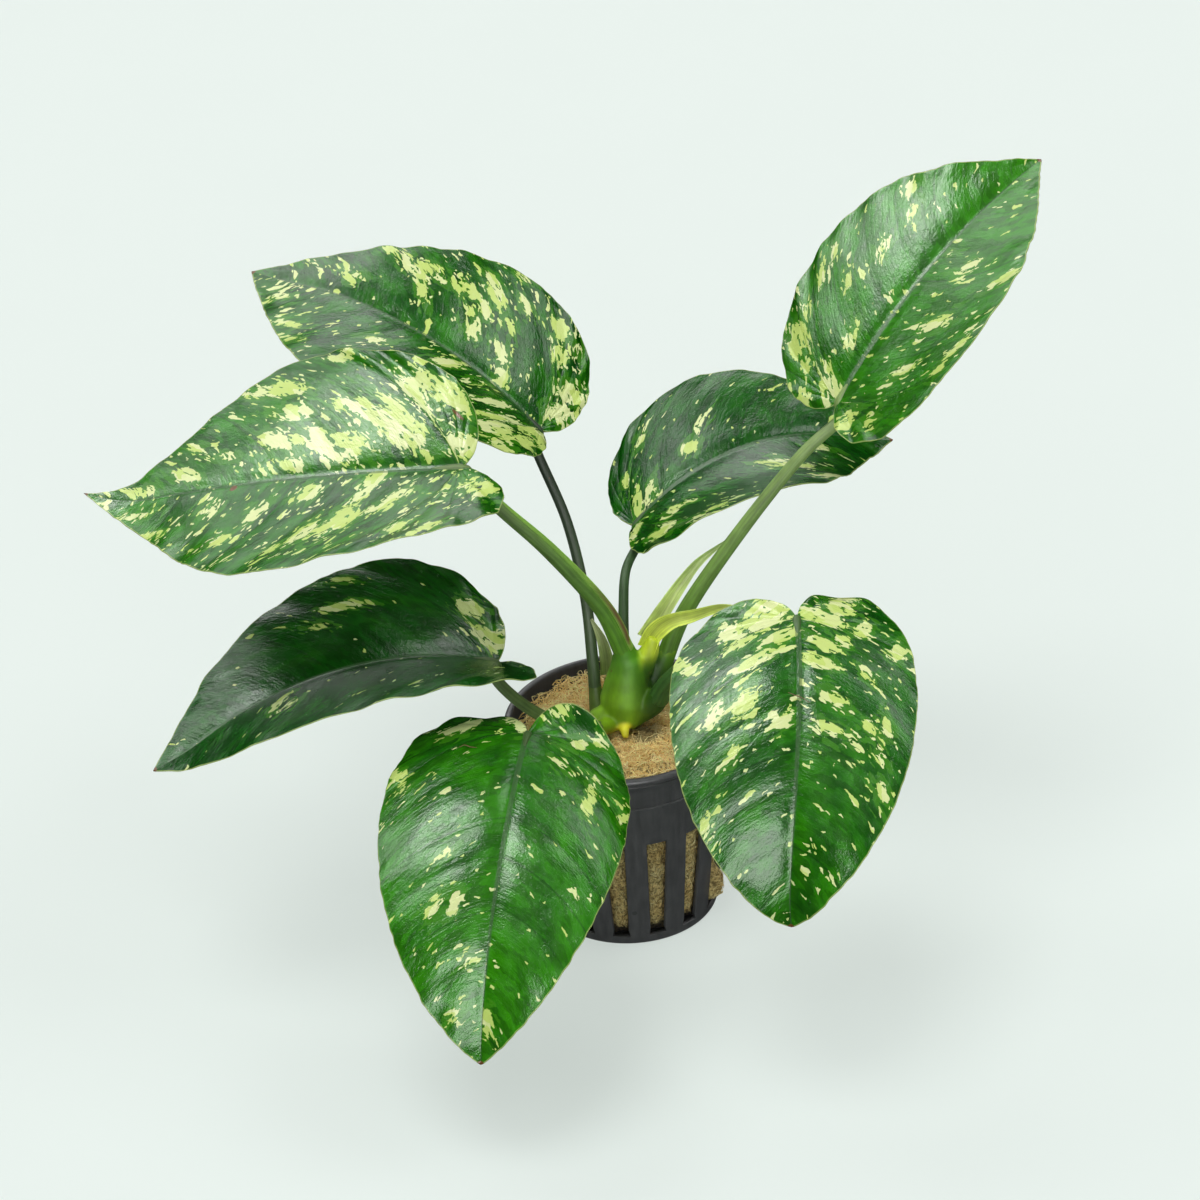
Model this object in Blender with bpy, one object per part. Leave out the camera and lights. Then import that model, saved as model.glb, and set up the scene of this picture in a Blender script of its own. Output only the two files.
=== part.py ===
"""A variegated anubias barteri growing in mineral wool in a 5 cm net pot.

Lengths in the tables are millimetres and angles are degrees. The origin is the middle of the pot's
underside, +Z is up, and the side of the plant with the two hanging front leaves faces -Y.
"""

import math

import bmesh
import bpy
import numpy as np
from mathutils import Matrix, Vector

MM = 0.001
GAP = 0.3
CREASE = 40.0

POT_HEIGHT = 50.0
POT_BASE_RADIUS = 20.0
POT_FLARE = 5.6 / 42.0
POT_WALL = 1.2
POT_FLOOR = 1.8
COLLAR_HEIGHT = 41.2
COLLAR_STEP = 0.6
RIM_RADIUS = 27.0
RIM_BEAD = 1.8

SLOTS = 15
FIRST_SLOT_AT = -8.5
SLOT_BOTTOM = 2.6
SLOT_TOP = 30.0
SLOT_WIDTH_BOTTOM = 2.6
SLOT_WIDTH_TOP = 4.0
SLOT_FOOT_HEIGHT = 1.5
SLOT_FOOT_FLARE = 0.7
BASE_SLOT_INNER = 9.0
BASE_SLOT_OUTER = 16.0

WOOL_GAP = 0.5
WOOL_LOOSE = 3.0
WOOL_LOOSE_AT = -150.0
WOOL_LOOSE_FROM = 40.0
WOOL_TOP = 49.0
WOOL_SIDES = 40
WOOL_CHAMFER = 0.6
WOOL_HEIGHTS = (15.0, 28.0, 40.0, 46.5)
WOOL_TOP_SHARES = (0.97, 0.9, 0.75, 0.55, 0.35, 0.15)
WOOL_EDGE_SHARE = 0.9
WOOL_EDGE_SLOPE = 15.0
WOOL_UNEVEN = 0.54
WOOL_UNEVEN_MIDDLE = 0.24
BULGE_SLOT = 3
BULGE_HEIGHT = 8.5
BULGE_RADII = (3.0, 3.0, 5.5)
BULGE_PROUD = 0.4
BULGE_CLEARANCE_HEIGHT = 40.0
BULGE_NECK = (5.0, 7.0)

CROWN_FOOT = (0.5, -4.0, 50.6)
CROWN_TOP = (3.0, -1.5, 68.0)
CROWN_PROFILE = ((0.0, 3.4), (0.1, 5.0), (0.36, 6.0), (0.6, 5.2), (0.8, 4.3), (0.95, 4.0), (1.0, 3.3))
CROWN_SIDES = 20
STUB_ROUTE = ((0.5, -4.5, 53.5), (-3.5, -5.0, 53.2), (-6.6, -4.6, 52.6))
STUB_RADII = (3.4, 3.3, 2.4)
ROOT_ROUTE = ((0.2, -7.5, 53.0), (0.7, -9.3, 52.2), (0.8, -9.8, 50.6))
ROOT_RADII = (1.2, 1.1, 0.7)
TUBE_SIDES = 12
TUBE_RINGS = 6
TUBE_FACING = (0.0, -1.0, 0.2)

BLADE_THICKNESS = 0.7
BLADE_ROWS = 17
BLADE_LANES = 4
FAN_SHARE = 0.3
MIDRIB_STEPS = 80
OUTLINE_STEPS = 60
TIP_FROM = 0.8
STALK_BEVEL_RESOLUTION = 2
STALK_POINTS = 12
STALK_BELOW = 4.5
STALK_BEHIND = 2.0

# Each blade: the place of its stalk's top, the heading and pitch of the midrib there, how far it droops and
# sweeps on its way to the tip, its length and half widths, and the fold, cup and lobes of its halves.
BLADES = {
    "back_left": dict(
        at=(-14, 29.5, 110.5), heading=149, pitch=42, droop=58, sweep=-8, tip_lift=14, roll=8, twist=-23,
        length=85, width=(34, 32), lobe=(4.5, 4.5), lobe_curl=(-11, 0), widest=0.28, shoulder=0.34,
        hollow=0.52, fold=(19, 12), fold_tip=-7, cup=(-12, -2)),
    "left": dict(
        at=(-32, -13, 127.5), heading=172, pitch=-3, droop=19, sweep=-15, tip_lift=31, roll=-19, twist=-8,
        length=91, width=(34.5, 31), lobe=(11, 4.5), lobe_curl=(-32, -25), widest=0.34, shoulder=0.44,
        hollow=0.19, fold=(16, 18), fold_tip=-8, cup=(14, -4)),
    "right": dict(
        at=(53, 10.5, 124), heading=31, pitch=52, droop=42, sweep=11, tip_lift=1, roll=5, twist=9,
        length=75, width=(27.5, 29), lobe=(5, 6), lobe_curl=(-5, 36), widest=0.29, shoulder=0.54,
        hollow=0.45, fold=(6, 10), fold_tip=19, cup=(-19, 10)),
    "low_left": dict(
        at=(-27.5, -10, 74), heading=197, pitch=26, droop=73, sweep=-8, tip_lift=23, roll=-3, twist=-6,
        length=85.5, width=(31, 29.5), lobe=(8.5, 4), lobe_curl=(10, 94), widest=0.2, shoulder=0.22,
        hollow=0.61, fold=(22, 17), fold_tip=8, cup=(3, -5)),
    "front_left": dict(
        at=(-21, -41, 74.5), heading=260, pitch=2, droop=78, sweep=-9, tip_lift=-2, roll=-3.5, twist=3,
        length=83.5, width=(26.5, 30), lobe=(10, 9), lobe_curl=(55, -29), widest=0.27, shoulder=0.28,
        hollow=0.77, fold=(-1, 13.5), fold_tip=27, cup=(-29, -41)),
    "front_right": dict(
        at=(40, -40, 99.5), heading=270, pitch=-11, droop=70, sweep=-20, tip_lift=-16, roll=-7, twist=2,
        length=74.5, width=(26, 29), lobe=(10.5, 6), lobe_curl=(-26, 30), widest=0.22, shoulder=0.44,
        hollow=0.75, fold=(7, 1), fold_tip=35, cup=(-20, -30)),
    "back_right": dict(
        at=(6, 31.5, 82.5), heading=25, pitch=40, droop=80, sweep=-6, tip_lift=26, roll=0, twist=24,
        length=71, width=(28.5, 30.5), lobe=(2.5, 5), lobe_curl=(40, 12), widest=0.4, shoulder=0.37,
        hollow=0.36, fold=(-4, 10), fold_tip=5, cup=(-3, 24)),
}

# Each stalk: the points it passes on its way up from the crown, and its thickness at the foot and the top.
PETIOLES = {
    "back_left": dict(
        route=((-5.4, 1.5, 51.5), (-5.6, 4, 63.5), (-6.4, 11, 77), (-9.5, 20, 91.5)), thick=(3.0, 2.2)),
    "left": dict(
        route=((1.8, -2.2, 69.2), (-3, -4, 83), (-13.7, -8, 101), (-24, -11, 115)), thick=(5.0, 2.6)),
    "right": dict(
        route=((9.6, 2.4, 60.5), (16.4, 4, 75.5), (30, 7, 94), (44.3, 9.5, 111)), thick=(4.4, 2.4)),
    "low_left": dict(
        route=((-9.2, -6.6, 53.2), (-14, -6.6, 54), (-19, -6.6, 56.8), (-24, -8, 62.5)), thick=(3.2, 2.6)),
    "front_left": dict(
        route=((-4.6, -9.6, 54.0), (-9.9, -18, 58), (-15.5, -29.5, 64)), thick=(3.2, 2.4)),
    "front_right": dict(
        route=((8.7, -6.6, 58.8), (11.8, -9, 65.2), (18.7, -15, 75.2), (28.8, -26, 88.3)), thick=(5.0, 2.4)),
    "back_right": dict(
        route=((1.6, 4.6, 62.0), (2.2, 11, 72), (3.4, 18.5, 78)), thick=(2.6, 2.0)),
}

# Each sheath leaf: the points along its middle, its width at each point and which way its open side faces.
SHEATHS = {
    "sheath_tall": dict(
        route=((7.0, 4.4, 68.0), (11.6, 6, 74.2), (15.8, 8, 79.5), (20.1, 10, 84), (26.3, 12, 88)),
        width=(4.0, 4.6, 4.0, 3.0, 0.6), thick=1.0, facing=(-0.5, -1.0, 0.4)),
    "sheath_curved": dict(
        route=((7.0, -1.4, 69.2), (9.0, -1.4, 73.2), (12.6, -2, 76.4), (17.5, -3, 78.2), (24, -6.5, 82),
               (30.6, -11, 84.3)),
        width=(4.4, 4.4, 3.8, 3.0, 2.0, 0.6), thick=1.0, facing=(0.2, -0.6, 1.0)),
    "sheath_short": dict(
        route=((-2.4, 5.0, 58.5), (-2.3, 5.2, 63.8), (-3.2, 5.2, 68.7), (-5.2, 6.0, 73.2)),
        width=(3.0, 3.2, 2.4, 0.6), thick=0.8, facing=(-0.3, -1.0, 0.1)),
}


def clear_scene():
    for obj in list(bpy.data.objects):
        bpy.data.objects.remove(obj)


def make_material(name, colour, roughness):
    material = bpy.data.materials.new(name)
    material.use_nodes = True
    shader = material.node_tree.nodes["Principled BSDF"]
    shader.inputs["Base Color"].default_value = (*colour, 1.0)
    shader.inputs["Roughness"].default_value = roughness
    shader.inputs["Metallic"].default_value = 0.0
    return material


def place(name, data, material):
    obj = bpy.data.objects.new(name, data)
    bpy.context.collection.objects.link(obj)
    data.materials.append(material)
    return obj


def mesh_object(name, bm, material):
    bmesh.ops.recalc_face_normals(bm, faces=bm.faces)
    mesh = bpy.data.meshes.new(name)
    bm.to_mesh(mesh)
    bm.free()
    mesh.shade_smooth()
    mesh.set_sharp_from_angle(angle=math.radians(CREASE))
    return place(name, mesh, material)


def around(radius, degrees, height):
    """A point on a circle about the pot's axis. 0 degrees is the front, and they grow to the right."""
    angle = math.radians(degrees)
    return Vector((radius * math.sin(angle), -radius * math.cos(angle), height)) * MM


def wall_radius(height):
    return POT_BASE_RADIUS + POT_FLARE * height


def slot_half_width(height):
    rise = (height - SLOT_BOTTOM) / (SLOT_TOP - SLOT_BOTTOM)
    half = (SLOT_WIDTH_BOTTOM + rise * (SLOT_WIDTH_TOP - SLOT_WIDTH_BOTTOM)) / 2
    return half + (SLOT_FOOT_FLARE / 2 if height <= SLOT_BOTTOM else 0.0)


def pot_rings():
    """The pot's half section, from the middle of its underside out, up, over the rim and down the inside.
    Each ring is (radius, height, half the slot's angle there)."""
    even = 90.0 / SLOTS
    narrow = math.degrees(slot_half_width(SLOT_BOTTOM) / POT_BASE_RADIUS)
    slot_heights = (SLOT_BOTTOM, SLOT_BOTTOM + SLOT_FOOT_HEIGHT, SLOT_TOP)
    collar = wall_radius(COLLAR_HEIGHT) + COLLAR_STEP
    bead = POT_HEIGHT - RIM_BEAD

    def slot_ring(height, inset):
        radius = wall_radius(height)
        return radius - inset, height, math.degrees(slot_half_width(height) / radius)

    outside = [(BASE_SLOT_INNER, 0.0, narrow), (BASE_SLOT_OUTER, 0.0, narrow)]
    outside += [(POT_BASE_RADIUS - 0.6, 0.0, narrow), (POT_BASE_RADIUS, 0.7, narrow)]
    outside += [slot_ring(height, 0.0) for height in slot_heights]
    outside += [(wall_radius(COLLAR_HEIGHT), COLLAR_HEIGHT, even), (collar, COLLAR_HEIGHT + 0.5, even)]
    outside += [(collar + 0.3, bead - 0.1, even), (RIM_RADIUS, bead + 0.4, even)]
    outside += [(RIM_RADIUS, POT_HEIGHT - 0.6, even), (RIM_RADIUS - 0.6, POT_HEIGHT, even)]
    inside = [(RIM_RADIUS - 1.5, POT_HEIGHT, even), (RIM_RADIUS - 1.9, POT_HEIGHT - 0.6, even)]
    inside += [(collar - POT_WALL, COLLAR_HEIGHT + 0.5, even)]
    inside += [slot_ring(height, POT_WALL) for height in reversed(slot_heights)]
    inside += [(wall_radius(POT_FLOOR) - POT_WALL, POT_FLOOR, narrow)]
    inside += [(BASE_SLOT_OUTER, POT_FLOOR, narrow), (BASE_SLOT_INNER, POT_FLOOR, narrow)]
    return outside + inside


def make_pot(material):
    rings = pot_rings()
    pitch = 360.0 / SLOTS
    bm = bmesh.new()
    rows = []
    for radius, height, half in rings:
        row = []
        for slot in range(SLOTS):
            middle = FIRST_SLOT_AT + slot * pitch
            for offset in (-pitch / 2, -half, 0.0, half):
                row.append(bm.verts.new(around(radius, middle + offset, height)))
        rows.append(row)
    columns = len(rows[0])
    last = len(rows) - 1
    base_slot = (0, last)
    side_slots = [(4, last - 3), (5, last - 4)]
    open_bands = {base_slot[0]: base_slot[1], **dict(side_slots)}
    open_rows = set(open_bands) | {inner - 1 for inner in open_bands.values()}

    def in_slot(column):
        return column % 4 in (1, 2)

    for i in range(last):
        for c in range(columns):
            if i in open_rows and in_slot(c):
                continue
            d = (c + 1) % columns
            bm.faces.new((rows[i][c], rows[i][d], rows[i + 1][d], rows[i + 1][c]))
    for outer, inner in open_bands.items():
        for c in range(columns):
            if c % 4 in (1, 3):
                bm.faces.new((rows[outer][c], rows[outer + 1][c], rows[inner - 1][c], rows[inner][c]))
    ends = ((0, last), (1, last - 1), (4, last - 3), (6, last - 5))
    for outer, inner in ends:
        for c in range(columns):
            if in_slot(c):
                bm.faces.new((rows[outer][c], rows[outer][c + 1], rows[inner][c + 1], rows[inner][c]))
    for row, height in ((rows[0], 0.0), (rows[last], POT_FLOOR)):
        middle = bm.verts.new((0.0, 0.0, height * MM))
        for c in range(columns):
            bm.faces.new((row[c], row[(c + 1) % columns], middle))
    return mesh_object("net_pot", bm, material)


def wool_lump(x, y):
    """A slow unevenness of the wool, between about -1 and 1."""
    broad = math.sin(0.31 * x + 0.9) * math.cos(0.27 * y - 0.4)
    return 0.6 * broad + 0.4 * math.sin(0.53 * x - 0.47 * y + 2.0)


def wool_gap(degrees, height):
    """How far the wool stands off the wall: close in front, loose behind on the left near the top."""
    behind = max(0.0, math.cos(math.radians(degrees - WOOL_LOOSE_AT)))
    above = max(0.0, (height - WOOL_LOOSE_FROM) / (POT_HEIGHT - WOOL_LOOSE_FROM))
    return WOOL_GAP + WOOL_LOOSE * behind * above


def add_loop(bm, points):
    return [bm.verts.new(point) for point in points]


def skin(bm, loops):
    """Joins closed loops of points of one length into a tube, and closes its ends."""
    for first, second in zip(loops, loops[1:]):
        for i in range(len(first)):
            j = (i + 1) % len(first)
            bm.faces.new((first[i], first[j], second[j], second[i]))
    bm.faces.new(loops[0])
    bm.faces.new(loops[-1])


def make_wool_plug(material):
    foot = POT_FLOOR + GAP + 0.1
    sides = [(foot, WOOL_CHAMFER), (foot + 1.0, 0.0), *((height, 0.0) for height in WOOL_HEIGHTS)]
    turns = [i * 360.0 / WOOL_SIDES for i in range(WOOL_SIDES)]
    bm = bmesh.new()
    loops = []
    for height, inset in sides:
        inner = wall_radius(min(height, COLLAR_HEIGHT)) - POT_WALL - inset
        loops.append(add_loop(bm, [around(inner - wool_gap(turn, height), turn, height) for turn in turns]))
    for share in WOOL_TOP_SHARES:
        inner = wall_radius(COLLAR_HEIGHT) - POT_WALL
        uneven = WOOL_UNEVEN_MIDDLE if share < 0.5 else WOOL_UNEVEN
        top = WOOL_TOP - WOOL_EDGE_SLOPE * max(0.0, share - WOOL_EDGE_SHARE)
        loop = [around(share * (inner - wool_gap(turn, WOOL_TOP)), turn, top) for turn in turns]
        for point in loop:
            point.z += uneven * wool_lump(point.x / MM, point.y / MM) * MM
        loops.append(add_loop(bm, loop))
    skin(bm, loops)
    return mesh_object("growing_medium", bm, material)


def cutter(obj):
    obj.hide_render = True
    obj.display_type = "WIRE"
    return obj


def apply_boolean(obj, other, operation):
    modifier = obj.modifiers.new(f"{operation.lower()} {other.name}", "BOOLEAN")
    modifier.object = other
    modifier.operation = operation


def make_bulge(material):
    """The wool that has swollen out through one slot: a neck in the slot and a lump outside the wall."""
    degrees = FIRST_SLOT_AT + BULGE_SLOT * 360.0 / SLOTS
    radius = wall_radius(BULGE_HEIGHT)
    turn = Matrix.Rotation(math.radians(degrees), 4, "Z")
    bm = bmesh.new()
    bmesh.ops.create_uvsphere(bm, u_segments=16, v_segments=10, radius=1.0)
    bmesh.ops.scale(bm, vec=Vector(BULGE_RADII) * MM, verts=bm.verts)
    bmesh.ops.translate(bm, vec=Vector((0.0, -(radius + BULGE_PROUD), BULGE_HEIGHT)) * MM, verts=bm.verts)
    bmesh.ops.transform(bm, matrix=turn, verts=bm.verts)
    lump = cutter(mesh_object("bulge_lump", bm, material))

    bm = bmesh.new()
    bmesh.ops.create_cone(
        bm, cap_ends=True, segments=4 * SLOTS, depth=BULGE_CLEARANCE_HEIGHT * MM,
        radius1=(wall_radius(0.0) + GAP + 0.05) * MM,
        radius2=(wall_radius(BULGE_CLEARANCE_HEIGHT) + GAP + 0.05) * MM,
        matrix=Matrix.Translation((0.0, 0.0, BULGE_CLEARANCE_HEIGHT / 2 * MM)))
    apply_boolean(lump, cutter(mesh_object("bulge_clearance", bm, material)), "DIFFERENCE")

    depth, height = BULGE_NECK
    width = 2 * slot_half_width(BULGE_HEIGHT) - 2 * GAP
    bm = bmesh.new()
    bmesh.ops.create_cube(bm, size=1.0)
    bmesh.ops.scale(bm, vec=Vector((width, depth, height)) * MM, verts=bm.verts)
    bmesh.ops.translate(bm, vec=Vector((0.0, -(radius - 1.0), BULGE_HEIGHT)) * MM, verts=bm.verts)
    bmesh.ops.transform(bm, matrix=turn, verts=bm.verts)
    neck = cutter(mesh_object("bulge_neck", bm, material))
    return neck, lump


def make_wool(material):
    wool = make_wool_plug(material)
    for piece in make_bulge(material):
        apply_boolean(wool, piece, "UNION")
    return wool


def smooth_route(points, count):
    """Evenly numbered points on a smooth curve through the given ones (Catmull-Rom)."""
    points = [Vector(p) for p in points]
    ends = [2 * points[0] - points[1], *points, 2 * points[-1] - points[-2]]
    spans = len(points) - 1
    route = []
    for i in range(count):
        t = i * spans / (count - 1)
        k = min(int(t), spans - 1)
        a, b, c, d = ends[k:k + 4]
        t -= k
        route.append(0.5 * (2 * b + (c - a) * t + (2 * a - 5 * b + 4 * c - d) * t**2
                            + (3 * b - a - 3 * c + d) * t**3))
    return route


def frames_along(route, facing):
    """For each point of a route: its position, its side direction and its upper direction."""
    frames = []
    up = Vector(facing)
    for i, point in enumerate(route):
        along = (route[min(i + 1, len(route) - 1)] - route[max(i - 1, 0)]).normalized()
        side = along.cross(up).normalized()
        up = side.cross(along).normalized()
        frames.append((point, side, up))
    return frames


def ring(middle, side, up, radius, sides):
    turns = [2 * math.pi * i / sides for i in range(sides)]
    return [(middle + radius * (math.cos(a) * side + math.sin(a) * up)) * MM for a in turns]


def make_tube(name, points, radii, material):
    route = smooth_route(points, TUBE_RINGS)
    sizes = np.interp(np.linspace(0, 1, TUBE_RINGS), np.linspace(0, 1, len(radii)), radii).tolist()
    bm = bmesh.new()
    frames = zip(frames_along(route, TUBE_FACING), sizes)
    skin(bm, [add_loop(bm, ring(*frame, radius, TUBE_SIDES)) for frame, radius in frames])
    return mesh_object(name, bm, material)


def make_crown(material):
    """The swollen stem base, with its short stub on the left and the one root nub in front."""
    foot, top = Vector(CROWN_FOOT), Vector(CROWN_TOP)
    lean = (top - foot).to_track_quat("Z", "Y").to_matrix()
    side, up = lean.col[0], lean.col[1]
    bm = bmesh.new()
    loops = []
    for share, radius in CROWN_PROFILE:
        loops.append(add_loop(bm, ring(foot.lerp(top, share), side, up, radius, CROWN_SIDES)))
    skin(bm, loops)
    crown = mesh_object("crown", bm, material)
    stub = make_tube("crown_stub", STUB_ROUTE, STUB_RADII, material)
    root = make_tube("crown_root", ROOT_ROUTE, ROOT_RADII, material)
    for growth in (stub, root):
        apply_boolean(crown, cutter(growth), "UNION")
    return crown


def bezier(points, t):
    a, b, c, d = np.array(points, float)
    t = t[:, None]
    return (1 - t)**3 * a + 3 * (1 - t)**2 * t * b + 3 * (1 - t) * t**2 * c + t**3 * d


def blade_outline(blade, half, count):
    """One half of a flat blade, from the notch round the lobe to the tip: x along the midrib, y across."""
    length, width, lobe = blade["length"], blade["width"][half], blade["lobe"][half]
    widest = blade["widest"] * length
    back = ((0, 0), (-1.7 * lobe, 0.1 * width), (-1.5 * lobe, width), (widest, width))
    front = ((widest, width), (widest + blade["shoulder"] * (length - widest), width),
             (0.78 * length, blade["hollow"] * width), (length, 0))
    t = np.linspace(0, 1, OUTLINE_STEPS)
    points = np.concatenate([bezier(back, t), bezier(front, t)[1:]])
    run = np.concatenate([[0], np.cumsum(np.linalg.norm(np.diff(points, axis=0), axis=1))])
    even = np.linspace(0, run[-1], count)
    return np.stack([np.interp(even, run, points[:, 0]), np.interp(even, run, points[:, 1])], -1)


def midrib(blade):
    """Places, directions and headings along a blade's midrib."""
    s = np.linspace(0, 1, MIDRIB_STEPS + 1)
    between = (s[1:] + s[:-1]) / 2

    def direction(s):
        lift = np.clip((s - TIP_FROM) / (1 - TIP_FROM), 0, 1)
        pitch = np.radians(blade["pitch"] - blade["droop"] * s + blade["tip_lift"] * lift**2 * (3 - 2 * lift))
        heading = np.radians(blade["heading"] + blade["sweep"] * s)
        level = np.stack([np.cos(heading), np.sin(heading)]) * np.cos(pitch)
        return np.stack([*level, np.sin(pitch)], -1), heading

    steps = direction(between)[0] * blade["length"] / MIDRIB_STEPS
    places = np.concatenate([[np.zeros(3)], np.cumsum(steps, 0)]) + np.array(blade["at"])
    return s, places, *direction(s)


def blade_surface(blade, flat, half):
    """Bends points of the flat blade into place. Half 0 is left of the midrib, seen from above, 1 right."""
    s, places, directions, headings = midrib(blade)
    side = 1 - 2 * half
    x, y = flat[:, 0], flat[:, 1]
    q = np.clip(x / blade["length"], 0, 1)
    middle = np.stack([np.interp(q, s, places[:, k]) for k in range(3)], -1)
    along = np.stack([np.interp(q, s, directions[:, k]) for k in range(3)], -1)
    along /= np.linalg.norm(along, axis=1)[:, None]
    heading = np.interp(q, s, headings)
    level = np.stack([-np.sin(heading), np.cos(heading), np.zeros_like(heading)], -1)
    above = np.cross(along, level)
    roll = np.radians(blade["roll"] + blade["twist"] * q)[:, None]
    across = np.cos(roll) * level + np.sin(roll) * above
    normal = np.cos(roll) * above - np.sin(roll) * level
    fold = np.radians(blade["fold"][half] + (blade["fold_tip"] - blade["fold"][half]) * q**1.5)
    bend = np.radians(blade["cup"][half]) / blade["width"][half]
    out = (np.sin(fold + bend * y) - np.sin(fold)) / bend
    up = (np.cos(fold) - np.cos(fold + bend * y)) / bend
    curl = np.radians(blade["lobe_curl"][half]) * np.clip(-x / blade["lobe"][half], 0, 1.2) / 2
    behind = np.minimum(x, 0.0)
    return (middle + side * out[:, None] * across + up[:, None] * normal
            + (behind * np.cos(curl))[:, None] * along - (behind * np.sin(curl))[:, None] * normal)


def make_blade(name, blade, material):
    """Rows follow the side veins from the midrib to the edge, and fan out from the stalk at the lobes."""
    bm = bmesh.new()
    lanes = np.linspace(0, 1, BLADE_LANES + 1)[:, None]
    for half in (0, 1):
        edge = blade_outline(blade, half, BLADE_ROWS)
        grid = []
        for i, rim in enumerate(edge):
            u = i / (BLADE_ROWS - 1)
            root = np.array([blade["length"] * max(0.0, (u - FAN_SHARE) / (1 - FAN_SHARE)), 0.0])
            bend = np.array([root[0] + 0.25 * (rim[0] - root[0]), 0.6 * rim[1]])
            vein = (1 - lanes)**2 * root + 2 * lanes * (1 - lanes) * bend + lanes**2 * rim
            grid.append([bm.verts.new(p * MM) for p in blade_surface(blade, vein, half)])
        for first, second in zip(grid, grid[1:]):
            for j in range(BLADE_LANES):
                corners = (first[j], first[j + 1], second[j + 1], second[j])
                bm.faces.new(corners if half else corners[::-1])
    bmesh.ops.remove_doubles(bm, verts=bm.verts, dist=0.02 * MM)
    bmesh.ops.dissolve_degenerate(bm, edges=bm.edges, dist=0.02 * MM)
    blade_object = mesh_object(name, bm, material)
    thick = blade_object.modifiers.new("thickness", "SOLIDIFY")
    thick.thickness = BLADE_THICKNESS * MM
    thick.offset = 0.0
    return blade_object


def stalk_top(blade):
    """The last two points of a stalk, which comes up to its blade from below."""
    _, places, directions, headings = midrib(blade)
    along = Vector(directions[0])
    level = Vector((-math.sin(headings[0]), math.cos(headings[0]), 0.0))
    above = along.cross(level)
    roll = math.radians(blade["roll"])
    normal = math.cos(roll) * above - math.sin(roll) * level
    top = Vector(places[0])
    below = top - STALK_BELOW * normal - STALK_BEHIND * along
    return below, top - (BLADE_THICKNESS / 2 + 2 * GAP) * normal


def make_petiole(name, stalk, blade, material):
    """A round stalk, thicker towards its foot, on a smooth curve up to its blade."""
    route = smooth_route([*stalk["route"], *stalk_top(blade)], STALK_POINTS)
    foot, top = (thick / 2 for thick in stalk["thick"])
    curve = bpy.data.curves.new(name, "CURVE")
    curve.dimensions = "3D"
    curve.bevel_depth = 1.0 * MM
    curve.bevel_resolution = STALK_BEVEL_RESOLUTION
    curve.use_fill_caps = True
    spline = curve.splines.new("POLY")
    spline.points.add(len(route) - 1)
    for i, (point, place_in) in enumerate(zip(spline.points, route)):
        share = i / (len(route) - 1)
        point.co = (*(place_in * MM), 1.0)
        point.radius = top + (foot - top) * (1 - share)**2
    return place(name, curve, material)


def make_sheath(name, sheath, material):
    """A narrow sheath leaf, folded like a gutter: a thin crescent section along a smooth route."""
    count = 3 * len(sheath["route"])
    route = smooth_route(sheath["route"], count)
    given = np.linspace(0, 1, len(sheath["width"]))
    widths = np.interp(np.linspace(0, 1, count), given, sheath["width"]).tolist()
    bm = bmesh.new()
    loops = []
    for (point, side, up), width in zip(frames_along(route, sheath["facing"]), widths):
        thick = min(sheath["thick"], 0.6 * width)
        outline = ((-0.5, 0.22), (0.0, -0.1), (0.5, 0.22))
        lower = [point + width * (x * side + z * up) for x, z in outline]
        upper = [p + thick * up for p in reversed(lower)]
        loops.append(add_loop(bm, [p * MM for p in lower + upper]))
    skin(bm, loops)
    return mesh_object(name, bm, material)


def main():
    clear_scene()
    plastic = make_material("pot plastic", (0.045, 0.045, 0.05), 0.4)
    wool = make_material("mineral wool", (0.5, 0.36, 0.19), 1.0)
    stem = make_material("crown skin", (0.12, 0.26, 0.02), 0.3)
    stalk = make_material("stalk skin", (0.07, 0.16, 0.04), 0.35)
    leaf = make_material("leaf skin", (0.03, 0.13, 0.02), 0.3)
    pale = make_material("sheath skin", (0.38, 0.5, 0.1), 0.4)
    make_pot(plastic)
    make_wool(wool)
    make_crown(stem)
    for name, blade in BLADES.items():
        make_blade("blade_" + name, blade, leaf)
        make_petiole("petiole_" + name, PETIOLES[name], blade, stalk)
    for name, sheath in SHEATHS.items():
        make_sheath(name, sheath, pale)


main()
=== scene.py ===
"""The looks of the potted anubias barteri: marbled leaves, stalks, crown, mineral wool and net pot, as
fine meshes with procedural finishes, on a plain pale floor in soft light.

Lengths in the tables are millimetres and angles are degrees, as in the part's source, whose tables of
the blades, stalks and sheaths are repeated here. The origin is the middle of the pot's underside, +Z is
up, and the side of the plant with the two hanging front leaves faces -Y.
"""

import math

import bmesh
import bpy
import numpy as np
from mathutils import Matrix, Vector


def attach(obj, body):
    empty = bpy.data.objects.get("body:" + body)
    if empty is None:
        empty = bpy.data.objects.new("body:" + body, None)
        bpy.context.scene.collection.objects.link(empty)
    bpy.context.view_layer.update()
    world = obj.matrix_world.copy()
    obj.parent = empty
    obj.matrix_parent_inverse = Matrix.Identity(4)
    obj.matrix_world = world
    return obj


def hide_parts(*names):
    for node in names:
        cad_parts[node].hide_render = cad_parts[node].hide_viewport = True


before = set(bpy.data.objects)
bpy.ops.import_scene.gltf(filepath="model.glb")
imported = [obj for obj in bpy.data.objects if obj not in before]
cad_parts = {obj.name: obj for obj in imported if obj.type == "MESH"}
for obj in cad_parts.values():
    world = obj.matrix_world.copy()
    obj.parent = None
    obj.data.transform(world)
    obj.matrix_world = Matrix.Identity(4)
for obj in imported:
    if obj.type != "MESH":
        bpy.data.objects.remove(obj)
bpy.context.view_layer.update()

MM = 0.001

PICTURE_WIDTH = 1200.0
PICTURE_FOCAL = 6420.0
SENSOR_WIDTH = 36.0
ORIGIN_IN_PICTURE = (632.0, 895.0)
VIEW_DISTANCE = 1.5
LOOK_DOWN = 32.4
CAMERA_TILT = 3.7

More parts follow.
